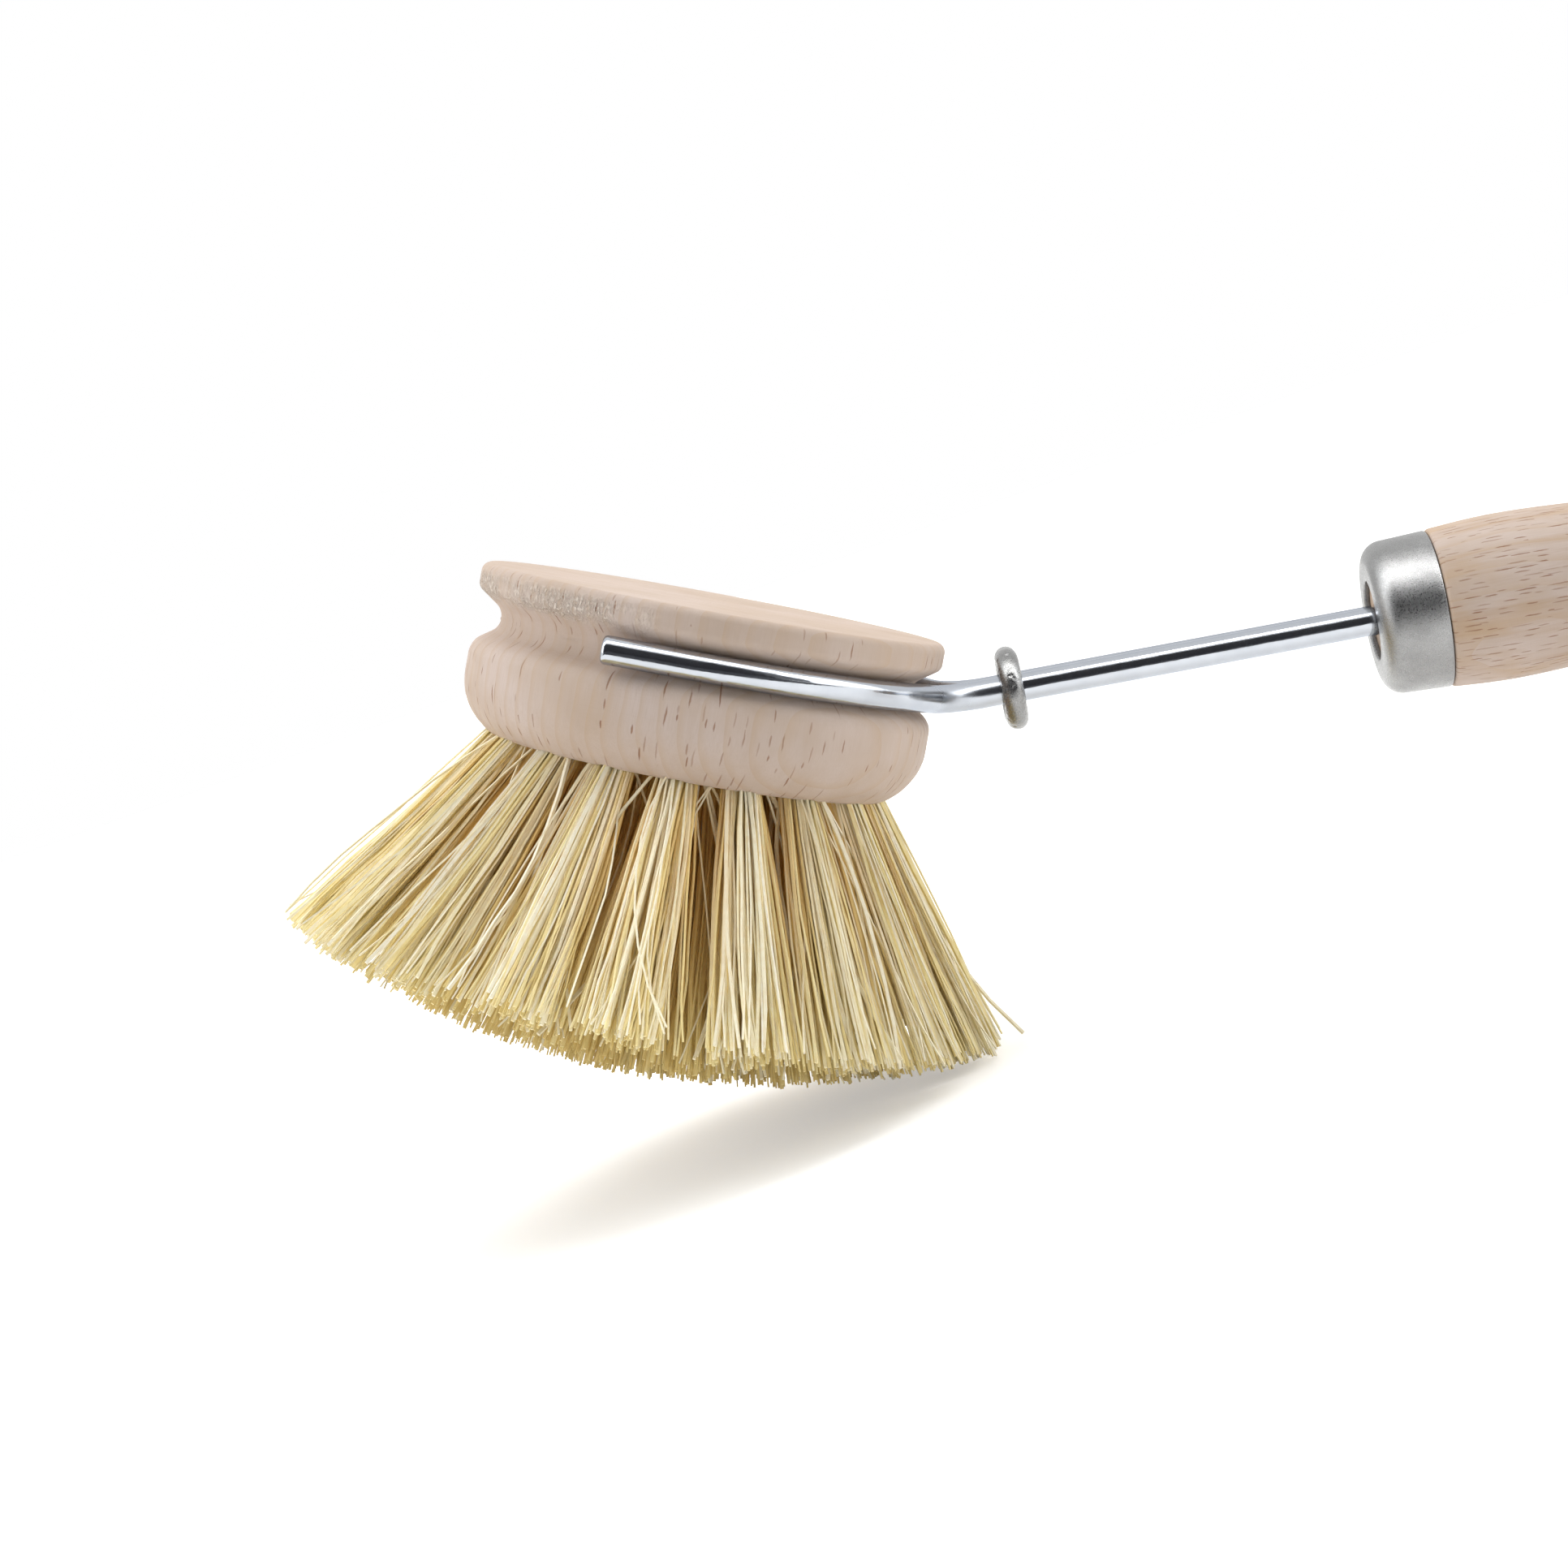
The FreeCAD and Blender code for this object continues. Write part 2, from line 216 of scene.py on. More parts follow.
class Wiring:
    # short names for the nodes of one tree
    def __init__(self, tree):
        self.tree = tree

    def feed(self, socket, value):
        if isinstance(value, bpy.types.NodeSocket):
            self.tree.links.new(value, socket)
        else:
            socket.default_value = value

    def node(self, kind, inputs=None, **settings):
        node = self.tree.nodes.new(kind)
        for key, value in settings.items():
            setattr(node, key, value)
        for key, value in (inputs or {}).items():
            self.feed(node.inputs[key], value)
        return node

    def output(self, kind, inputs=None, **settings):
        return self.node(kind, inputs, **settings).outputs[0]

    def maths(self, operation, first, second=0.0):
        return self.output("ShaderNodeMath", {0: first, 1: second}, operation=operation)

    def add(self, first, second):
        return self.maths("ADD", first, second)

    def subtract(self, first, second):
        return self.maths("SUBTRACT", first, second)

    def times(self, first, *others):
        for other in others:
            first = self.maths("MULTIPLY", first, other)
        return first

    def vector(self, operation, first, second=(0, 0, 0)):
        return self.output("ShaderNodeVectorMath", {0: first, 1: second}, operation=operation)

    def measure(self, operation, first, second=(0, 0, 0)):
        return self.node("ShaderNodeVectorMath", {0: first, 1: second}, operation=operation).outputs["Value"]

    def scaled(self, vector, factor):
        return self.output("ShaderNodeVectorMath", {0: vector, "Scale": factor}, operation="SCALE")

    def noiseVector(self, vector, scale, detail):
        # three noises at once, each about zero
        noises = self.node("ShaderNodeTexNoise", {"Vector": vector, "Scale": scale, "Detail": detail})
        return self.vector("SUBTRACT", noises.outputs[1], (0.5, 0.5, 0.5))

    def combine(self, x=0.0, y=0.0, z=0.0):
        return self.output("ShaderNodeCombineXYZ", {0: x, 1: y, 2: z})

    def parts(self, vector):
        return self.node("ShaderNodeSeparateXYZ", {0: vector}).outputs

    def spread(self, value, low, high, toLow=0.0, toHigh=1.0):
        return self.output("ShaderNodeMapRange", {"Value": value, "From Min": low, "From Max": high,
                                                  "To Min": toLow, "To Max": toHigh})

    # materials

    def coords(self, matrix, scale=(1, 1, 1)):
        # object coordinates brought into a piece's own frame, then stretched
        inverse = matrix.inverted()
        place = self.node("ShaderNodeTexCoord").outputs["Object"]
        local = self.output("ShaderNodeMapping", {0: place, "Location": inverse.translation,
                                                  "Rotation": inverse.to_euler("XYZ")})
        return self.output("ShaderNodeMapping", {0: local, "Scale": scale})

    def grain(self, matrix, across, along, detail, roughness):
        # noise drawn out along the piece's Z axis
        return self.noise(self.coords(matrix, (1 / across, 1 / across, 1 / along)), 1.0, detail, roughness)

    def noise(self, vector, scale, detail=3.0, roughness=0.55):
        return self.output("ShaderNodeTexNoise", {"Vector": vector, "Scale": scale, "Detail": detail,
                                                  "Roughness": roughness})

    def mix(self, factor, first, second):
        return self.node("ShaderNodeMix", {0: factor, 6: first, 7: second}, data_type="RGBA").outputs[2]

    def bump(self, height, strength, distance, normal=None):
        inputs = {"Height": height, "Strength": strength, "Distance": distance}
        if normal is not None:
            inputs["Normal"] = normal
        return self.output("ShaderNodeBump", inputs)

    def attribute(self, name):
        return self.node("ShaderNodeAttribute", attribute_name=name).outputs["Fac"]

    def seen(self):
        # rays from the camera, straight or by way of a mirror
        path = self.node("ShaderNodeLightPath").outputs
        mirrored = self.maths("MAXIMUM", path["Is Glossy Ray"], path["Is Transmission Ray"])
        return self.maths("MAXIMUM", path["Is Camera Ray"], mirrored)

    def surface(self, values):
        for name, value in values.items():
            self.feed(self.tree.nodes["Principled BSDF"].inputs[name], value)

    # geometry

    def chance(self, low, high, seed, key):
        return self.node("FunctionNodeRandomValue", {2: low, 3: high, "ID": key, "Seed": seed},
                         data_type="FLOAT").outputs[1]

    def store(self, geometry, name, value, kind="FLOAT"):
        return self.output("GeometryNodeStoreNamedAttribute", {0: geometry, 2: name, 3: value},
                           data_type=kind, domain="POINT")

    def named(self, name, kind="FLOAT"):
        return self.output("GeometryNodeInputNamedAttribute", {0: name}, data_type=kind)


def newMaterial(name):
    material = bpy.data.materials.new(name)
    material.use_nodes = True
    return material, Wiring(material.node_tree)


# beech

# a grain is its size across and along, its detail and its roughness,
# and a noise its scale, its detail and for some its roughness
beech = {
    "pale": (0.61, 0.505, 0.45, 1), "warm": (0.515, 0.4, 0.315, 1), "fleck": (0.29, 0.145, 0.08, 1),
    "streak": (0.46, 0.31, 0.20, 1), "tan": (0.52, 0.36, 0.225, 1), "torn": (0.86, 0.76, 0.67, 1),
    "cloudNoise": (90, 4), "cloudRange": (0.3, 0.7), "edgeFade": 0.3 * mm, "levelFade": 0.2 * mm,
    "streakGrain": (1.3 * mm, 38 * mm, 4, 0.6), "streakRange": (0.5, 0.75),
    "blotchGrain": (4.5 * mm, 11 * mm, 3, 0.55), "blotchRange": (0.5, 0.72),
    "fineGrain": (0.13 * mm, 2.2 * mm, 2, 0.5), "fineShare": (0.4, 0.75, 0.0, 0.3), "fineHeight": 0.55,
    "heart": (38 * mm, -47 * mm, 0), "ringSpacing": 1.9 * mm, "wanderNoise": (60, 2), "ringWander": 1.5,
    "ringRange": (0.6, 1.0), "ringShare": 0.4, "fleckShare": 0.9, "fleckDepth": 0.8,
    "markNoise": (3600, 2, 0.5), "markHeight": 0.3, "grainBump": (0.55, 0.07 * mm),
    "tornGrain": (0.3 * mm, 0.55 * mm, 3, 0.6), "tornRange": (0.42, 0.62), "tornFade": 4 * mm,
    "patchNoise": (160, 2), "patchRange": (0.33, 0.5), "tornBump": (0.95, 0.2 * mm), "tornShare": 0.75,
    "roughness": (0.3, 0.7, 0.54, 0.72), "gloss": 0.3,
}
dash = {
    "raggedNoise": (2.2, 3.0), "raggedBy": (0.16, 0.5, 0), "scatter": 0.95, "lengths": (0.65, 1.9),
    "depths": (0.35, 1.0), "crowdNoise": (0.14, 2), "crowdRange": (0.36, 0.64), "crowdShares": (0.45, 1.3),
    "softEdge": 0.55,
}


def fleckMask(w, along, around, cellWidth, cellLength, halfWidth, halfLength, share):
    # short dashes along the grain, one in each cell of a grid unrolled round the piece
    flat = w.combine(w.maths("DIVIDE", around, cellWidth), w.maths("DIVIDE", along, cellLength))
    ragged = w.vector("MULTIPLY", w.noiseVector(flat, *dash["raggedNoise"]), dash["raggedBy"])
    bent = w.vector("ADD", flat, ragged)
    cells = w.node("ShaderNodeTexVoronoi", {"Vector": bent, "Scale": 1.0, "Randomness": dash["scatter"]},
                   voronoi_dimensions="2D").outputs
    away = w.vector("SUBTRACT", bent, cells["Position"])
    away = w.vector("MULTIPLY", away, (cellWidth / halfWidth, cellLength / halfLength, 0))
    chance = w.node("ShaderNodeSeparateColor", {0: cells["Color"]}).outputs
    uneven = w.combine(1.0, w.spread(chance[2], 0, 1, *dash["lengths"]))
    distance = w.measure("LENGTH", w.vector("MULTIPLY", away, uneven))
    crowds = [limit * share for limit in dash["crowdShares"]]
    crowd = w.spread(w.noise(flat, *dash["crowdNoise"]), *dash["crowdRange"], *crowds)
    kept = w.maths("LESS_THAN", chance[0], crowd)
    depth = w.spread(chance[1], 0, 1, *dash["depths"])
    return w.times(w.spread(distance, 1.0, dash["softEdge"]), kept, depth)


def beechMaterial(name, matrix, front, girth, flecks, sideFrom, below, streaks, tornBand=None):
    # grain runs along the piece's own Z axis; front is the local direction kept clear of the pattern's seam,
    # and dashes show only on the side, outside sideFrom and below a level
    b = beech
    material, w = newMaterial(name)
    plain = w.coords(matrix)
    x, y, level = w.parts(plain)
    around = w.times(w.maths("ARCTAN2", x, w.times(y, front)), girth)
    radius = w.measure("LENGTH", w.combine(x, y))
    onSide = w.times(w.spread(radius, sideFrom, sideFrom + b["edgeFade"]),
                     w.spread(level, below, below - b["levelFade"]))
    dashes = w.times(fleckMask(w, level, around, **flecks), onSide)
    fine = w.grain(matrix, *b["fineGrain"])
    colour = w.mix(w.spread(w.noise(plain, *b["cloudNoise"]), *b["cloudRange"]), b["pale"], b["warm"])
    blotch = w.spread(w.grain(matrix, *b["blotchGrain"]), *b["blotchRange"], 0.0, streaks)
    streak = w.spread(w.grain(matrix, *b["streakGrain"]), *b["streakRange"], 0.0, streaks)
    colour = w.mix(streak, w.mix(blotch, colour, b["tan"]), b["streak"])
    # growth rings about a heart far off to one side: curved lines on end grain, long lines on the sides
    fromHeart = w.measure("DISTANCE", w.vector("MULTIPLY", plain, (1, 1, 0)), b["heart"])
    wavy = w.times(w.noise(plain, *b["wanderNoise"]), b["ringWander"])
    turns = w.add(w.maths("DIVIDE", fromHeart, b["ringSpacing"]), wavy)
    growth = w.spread(w.maths("FRACT", turns), *b["ringRange"])
    colour = w.mix(w.times(growth, b["ringShare"]), colour, b["tan"])
    colour = w.mix(w.spread(fine, *b["fineShare"]), colour, b["warm"])
    colour = w.mix(w.times(dashes, b["fleckShare"]), colour, b["fleck"])
    marks = w.noise(w.combine(radius, 0.0, level), *b["markNoise"])
    height = w.add(w.times(marks, b["markHeight"]), w.times(fine, b["fineHeight"]))
    normal = w.bump(w.subtract(height, w.times(dashes, b["fleckDepth"])), *b["grainBump"])
    if tornBand:
        low, high, fade, rightEnd = tornBand
        inBand = w.times(w.spread(level, low, low + fade), w.spread(level, high, high - fade),
                         w.spread(x, rightEnd, rightEnd - b["tornFade"]))
        patchy = w.spread(w.noise(plain, *b["patchNoise"]), *b["patchRange"])
        torn = w.spread(w.grain(matrix, *b["tornGrain"]), *b["tornRange"])
        ragged = w.times(torn, inBand, patchy)
        normal = w.bump(ragged, *b["tornBump"], normal)
        colour = w.mix(w.times(ragged, b["tornShare"]), colour, b["torn"])
    w.surface({"Base Color": colour, "Normal": normal, "Roughness": w.spread(fine, *b["roughness"]),
               "Specular IOR Level": b["gloss"]})
    return material


# metals

plate = {
    "wire": (0.52, 0.545, 0.585, 1), "wireSmear": (0.44, 0.465, 0.505, 1), "wireEdge": (0.72, 0.75, 0.8, 1),
    "drawLength": 5 * mm, "drawWidth": 0.25 * mm, "drawNoise": (1.0, 3, 0.6), "drawBump": (0.2, 0.02 * mm),
    "unevenNoise": (380, 2), "unevenBump": (0.7, 0.05 * mm), "smearNoise": (420, 3),
    "smearRange": (0.3, 0.75), "smearShares": (0, 0.6), "wireRoughness": (0.08, 0.17), "bendAt": 26.5 * mm,
    "bendHalf": 6.5 * mm, "bendDulling": 0.2,
}
cast = {
    "ring": (0.33, 0.33, 0.325, 1), "cap": (0.37, 0.37, 0.367, 1), "pit": (0.12, 0.12, 0.12, 1),
    "darker": 0.62, "grainDetail": (4, 0.65), "grainRange": (0.3, 0.7), "smoother": 0.1, "rougher": 0.14,
    "sparklePitch": 2.2, "sparkleDetail": (2, 0.6), "sparkleShare": (0.48, 0.64, 0, 0.75),
    "pitPitch": 0.45, "pitDetail": 2, "pitRange": (0.66, 0.74), "blotchNoise": (320, 3),
    "blotchShare": (0.35, 0.7, 0, 0.55), "grainBump": (0.5, 0.04 * mm), "pitBump": (0.6, 0.05 * mm),
}


def wireMaterial(name):
    material, w = newMaterial(name)
    drawScale = (1 / plate["drawLength"], 1 / plate["drawWidth"], 1 / plate["drawWidth"])
    shankMatrix = frameMatrix(shankAlong, acrossAxis, shankUp, pivotMiddle)
    drawn = w.noise(w.coords(shankMatrix, drawScale), *plate["drawNoise"])
    place = w.coords(headMatrix)
    smear = w.noise(place, *plate["smearNoise"])
    smeared = w.spread(smear, *plate["smearRange"], *plate["smearShares"])
    # the plating is dulled where the wire was bent, at the elbow
    fromBend = w.maths("ABSOLUTE", w.subtract(w.parts(place)[0], plate["bendAt"]))
    dulled = w.spread(fromBend, plate["bendHalf"], 0, 0, plate["bendDulling"])
    rough = w.spread(smear, *plate["smearRange"], *plate["wireRoughness"])
    uneven = w.bump(w.noise(place, *plate["unevenNoise"]), *plate["unevenBump"])
    w.surface({"Metallic": 1.0, "Specular Tint": plate["wireEdge"], "Roughness": w.add(rough, dulled),
               "Base Color": w.mix(smeared, plate["wire"], plate["wireSmear"]),
               "Normal": w.bump(drawn, *plate["drawBump"], uneven)})
    return material


def castMaterial(name, colour, roughness, grainSize, pits):
    # satin or dull plating with a fine grain and small pits
    material, w = newMaterial(name)
    plain = w.coords(headMatrix)
    grain = w.noise(plain, 1 / grainSize, *cast["grainDetail"])
    sparkle = w.noise(plain, cast["sparklePitch"] / grainSize, *cast["sparkleDetail"])
    pitted = w.spread(w.noise(plain, cast["pitPitch"] / grainSize, cast["pitDetail"]), *cast["pitRange"])
    dark = tuple(channel * cast["darker"] for channel in colour[:3]) + (1,)
    shade = w.mix(w.spread(w.noise(plain, *cast["blotchNoise"]), *cast["blotchShare"]), colour, dark)
    shade = w.mix(w.spread(sparkle, *cast["sparkleShare"]), shade, dark)
    shade = w.mix(w.times(pitted, pits), shade, cast["pit"])
    normal = w.bump(w.add(grain, sparkle), *cast["grainBump"])
    rough = w.spread(grain, *cast["grainRange"], roughness - cast["smoother"], roughness + cast["rougher"])
    w.surface({"Metallic": 1.0, "Base Color": shade, "Roughness": rough,
               "Normal": w.bump(w.times(pitted, -pits), *cast["pitBump"], normal)})
    return material


# turned head

head = {
    "upperRadius": 25.2 * mm, "lowerRadius": 25.1 * mm, "grooveRadius": 22.3 * mm, "grooveSection": 1.9 * mm,
    "flankSlope": math.radians(35), "topLevel": 5.75 * mm, "topRound": 1.0 * mm, "upperLip": 1.0 * mm,
    "lowerLip": 2.2 * mm, "bellyDrop": 6.0 * mm, "footRadius": 21.4 * mm, "footDrop": 12.0 * mm,
    "crown": 0.8 * mm, "crownSteps": 24, "segments": 224, "holeRadius": 2.0 * mm, "holeDepth": 7.0 * mm,
    "holeSides": 28, "wearWaves": ((260, 0.05 * mm), (900, 0.025 * mm)), "wear": 0.06 * mm, "streaks": 0.15,
    "fleckBelow": 0.1 * mm, "tornBand": (1.8 * mm, 5.2 * mm, 0.8 * mm, -4 * mm),
    "flecks": {"cellWidth": 1.45 * mm, "cellLength": 2.4 * mm, "halfWidth": 0.12 * mm, "halfLength": 0.9 * mm,
               "share": 0.52},
}
tufts = {
    "rimRadius": 41.0 * mm, "rimDrop": 34.6 * mm, "domeDrop": 45.0 * mm,
    # each ring's palest caps its fibres' tone: raised past one on the outer ring and held low on the middle,
    # inner and centre rings, as painted light and shade for their places in the brush
    "rings": (
        {"name": "outer", "seed": 11, "count": 18, "rootRadius": 19.5 * mm, "tipRadius": 36.0 * mm,
         "halfDepth": 4.2 * mm, "halfWidth": 4.7 * mm, "fibres": 138, "palest": 1.05, "strayShare": 0.1},
        {"name": "middle", "seed": 23, "count": 12, "rootRadius": 12.9 * mm, "tipRadius": 24.6 * mm,
         "halfDepth": 5.2 * mm, "halfWidth": 5.2 * mm, "fibres": 128, "palest": 0.42, "strayShare": 0.03},
        {"name": "inner", "seed": 37, "count": 6, "rootRadius": 6.7 * mm, "tipRadius": 13.0 * mm,
         "halfDepth": 5.4 * mm, "halfWidth": 5.4 * mm, "fibres": 120, "palest": 0.37, "strayShare": 0.03},
        {"name": "centre", "seed": 41, "count": 1, "rootRadius": 0.0, "tipRadius": 0.0,
         "halfDepth": 5.8 * mm, "halfWidth": 5.4 * mm, "fibres": 120, "palest": 0.37, "strayShare": 0.03},
    ),
}
domeRise = tufts["domeDrop"] - tufts["rimDrop"]
domeRadius = (tufts["rimRadius"] ** 2 + domeRise ** 2) / (2 * domeRise)


def undersideLevel(radius):
    share = radius / head["footRadius"]
    return -head["footDrop"] - head["crown"] * (1 - share * share)


def domeLevel(radius):
    return domeRadius - tufts["domeDrop"] - math.sqrt(domeRadius ** 2 - radius ** 2)


def tuftLine(ring):
    root = Vector((ring["rootRadius"], 0, undersideLevel(ring["rootRadius"])))
    tip = Vector((ring["tipRadius"], 0, domeLevel(ring["tipRadius"])))
    axis = (tip - root).normalized()
    return root, tip, axis, axis.cross(acrossAxis)


def flankLine(side, flangeRadius, lipRound):
    # end of the groove's round bottom, start of the flange's lip and the lip's centre
    slope = head["flankSlope"]
    inset = (-math.sin(slope), side * math.cos(slope))
    section = head["grooveSection"]
    start = (head["grooveRadius"] + section + inset[0] * section, inset[1] * section)
    run = flangeRadius - lipRound * (1 - math.sin(slope)) - start[0]
    lipStart = (start[0] + run, start[1] + side * run * math.tan(slope))
    return start, lipStart, (lipStart[0] + inset[0] * lipRound, lipStart[1] + inset[1] * lipRound)


def headProfile():
    h = head
    rimCentre = (h["upperRadius"] - h["topRound"], h["topLevel"] - h["topRound"])
    upperStart, upperLip, upperCentre = flankLine(1, h["upperRadius"], h["upperLip"])
    lowerStart, lowerLip, lowerCentre = flankLine(-1, h["lowerRadius"], h["lowerLip"])
    grooveCentre = (h["grooveRadius"] + h["grooveSection"], 0)
    tilt = 90 - math.degrees(h["flankSlope"])
    inward = h["lowerRadius"] - h["footRadius"]
    fall = h["footDrop"] - h["bellyDrop"]
    bellyRound = (inward ** 2 + fall ** 2) / (2 * inward)
    bellyTurn = math.degrees(math.asin(fall / bellyRound))
    radii = [h["footRadius"] * (1 - step / h["crownSteps"]) for step in range(h["crownSteps"] + 1)]
    return joinRuns(
        straightPoints((0, h["topLevel"]), (rimCentre[0], h["topLevel"]), 24),
        arcPoints(rimCentre, h["topRound"], 90, 0, 12),
        straightPoints((h["upperRadius"], rimCentre[1]), (h["upperRadius"], upperCentre[1]), 4),
        arcPoints(upperCentre, h["upperLip"], 0, -tilt, 10),
        straightPoints(upperLip, upperStart, 6),
        arcPoints(grooveCentre, h["grooveSection"], 180 - tilt, 180 + tilt, 20),
        straightPoints(lowerStart, lowerLip, 6),
        arcPoints(lowerCentre, h["lowerLip"], tilt, 0, 12),
        straightPoints((h["lowerRadius"], lowerCentre[1]), (h["lowerRadius"], -h["bellyDrop"]), 5),
        arcPoints((h["lowerRadius"] - bellyRound, -h["bellyDrop"]), bellyRound, 0, -bellyTurn, 24),
        [(radius, undersideLevel(radius)) for radius in radii],
    )


def drillCutter():
    build = bmesh.new()
    mouth = 2 * head["holeRadius"]
    length = head["holeDepth"] + mouth
    for ring in tufts["rings"]:
        root, _, axis, _ = tuftLine(ring)
        turn = axis.to_track_quat("Z", "Y").to_matrix().to_4x4()
        centre = root + axis * (mouth - length / 2)
        for index in range(ring["count"]):
            spin = Matrix.Rotation(2 * math.pi * (index + 0.5) / ring["count"], 4, "Z")
            addDrill(build, head["holeRadius"], length, head["holeSides"],
                     headMatrix @ spin @ Matrix.Translation(centre) @ turn)
    return builtMesh("drillCutter", build)


def roughenRim(mesh):
    # small chips and waves along the turned edges
    inverse = headMatrix.inverted()
    for vertex in mesh.vertices:
        local = inverse @ vertex.co
        radius = math.hypot(local.x, local.y)
        if radius < head["grooveRadius"]:
            continue
        wave = sum(noise.noise(local * scale) * depth for scale, depth in head["wearWaves"])
        push = Vector((local.x / radius, local.y / radius, 0)) * (wave - head["wear"])
        vertex.co = headMatrix @ (local + push)


beechHead = beechMaterial("beechHead", headMatrix, -1, head["lowerRadius"], head["flecks"],
                          head["footRadius"], head["topLevel"] - head["fleckBelow"], head["streaks"],
                          head["tornBand"])
headMesh = spinMesh("turnedHead", headProfile(), head["segments"], headMatrix)
roughenRim(headMesh)
headMesh = cutMesh(headMesh, drillCutter())
keepMesh("turnedHead", headMesh, "head", ["head_block"], beechHead)
print("turned head done:", len(headMesh.polygons), "faces")


# fibre tufts

fibre = {
    "radius": 0.17 * mm, "taper": 0.85, "points": 9, "sides": 4, "bend": 0.8 * mm, "kink": 0.75 * mm,
    "jitter": 1.7 * mm, "trim": 1.2 * mm, "strayFactor": 4.6, "buried": 3.0 * mm, "tuftLean": 0.9 * mm,
    "tipOut": (-0.7, 0.3), "bowOut": (-0.8, 0.1), "bowUp": (-0.2, 0.2), "trimDraw": (-0.1, 1.0),
    "waves": 3.2, "waveSeeds": 400.0, "waveNoise": (1.0, 2.0), "girth": 0.72, "broader": 1.1,
    "broadPower": 4.0, "sharp": 60,
}
# fibre tones from darkest to palest; the amber tint with its run, most and facing weights is painted shade,
# and the darkest stop is held dark for the shaded fibres low in the brush
tones = {
    "darkest": (0.70, 0.49, 0.15, 1), "palest": (0.995, 0.955, 0.825, 1),
    "between": ((0.1, (0.80, 0.62, 0.24, 1)), (0.26, (0.92, 0.765, 0.36, 1)),
                (0.44, (0.98, 0.855, 0.46, 1)), (0.6, (0.99, 0.91, 0.63, 1))),
    "draw": (0.35, 1.0), "facing": 0.65, "turnedAway": 0.35, "stray": 0.75,
    "speckle": (0.82, 0.56, 0.2, 1), "speckleNoise": (900, 3, 0.6), "speckleShare": (0.45, 0.75, 0, 0.3),
    "shadeAmber": (0.95, 0.53, 0.11, 1), "shadeAmberRun": (0.95, 0.3), "shadeAmberMost": 1.9, "shadeAmberFacing": 0.9,
    "strayClear": 0.4, "bump": (0.3, 0.05 * mm), "roughness": (0.3, 0.7, 0.5, 0.66), "gloss": 0.28,
}
fibreInputs = (
    ("Tufts", "Int"), ("Fibres", "Int"), ("Root", "Vector"), ("Tip", "Vector"), ("Outward", "Vector"),
    ("Axis", "Vector"), ("Hole Radius", "Float"), ("Half Depth", "Float"), ("Half Width", "Float"),
    ("Dome Radius", "Float"), ("Dome Centre", "Float"), ("Fibre Radius", "Float"), ("Bend", "Float"),
    ("Kink", "Float"), ("Jitter", "Float"), ("Trim", "Float"), ("Stray Share", "Float"),
    ("Stray Factor", "Float"), ("Buried", "Float"), ("Points", "Int"), ("Sides", "Int"), ("Taper", "Float"),
    ("Tuft Lean", "Float"), ("Palest", "Float"), ("Seed", "Int"), ("Finish", "Material"),
)


def fibreMaterial(name):
    # each fibre has its own tone; painted shade: fibres turn amber towards the root, most on the darker rings
    # deep in the brush, standing in for the warm shade between the tufts
    material, w = newMaterial(name)
    ramp = w.node("ShaderNodeValToRGB", {0: w.attribute("fibreToneAndShade")})
    stops = ramp.color_ramp.elements
    stops[0].color = tones["darkest"]
    stops[1].color = tones["palest"]
    for position, colour in tones["between"]:
        stops.new(position).color = colour
    speckle = w.noise(w.coords(headMatrix), *tones["speckleNoise"])
    colour = w.mix(w.spread(speckle, *tones["speckleShare"]), ramp.outputs[0], tones["speckle"])
    # painted shade: amber mixed in towards the root by each fibre's stored share
    rootShade = w.times(w.spread(w.attribute("alongFibre"), *tones["shadeAmberRun"]),
                        w.maths("MINIMUM", w.attribute("fibreShadeAmber"), 1.0))
    colour = w.mix(rootShade, colour, tones["shadeAmber"])
    w.surface({"Base Color": colour, "Normal": w.bump(speckle, *tones["bump"]),
               "Roughness": w.spread(speckle, *tones["roughness"]), "Specular IOR Level": tones["gloss"]})
    return material


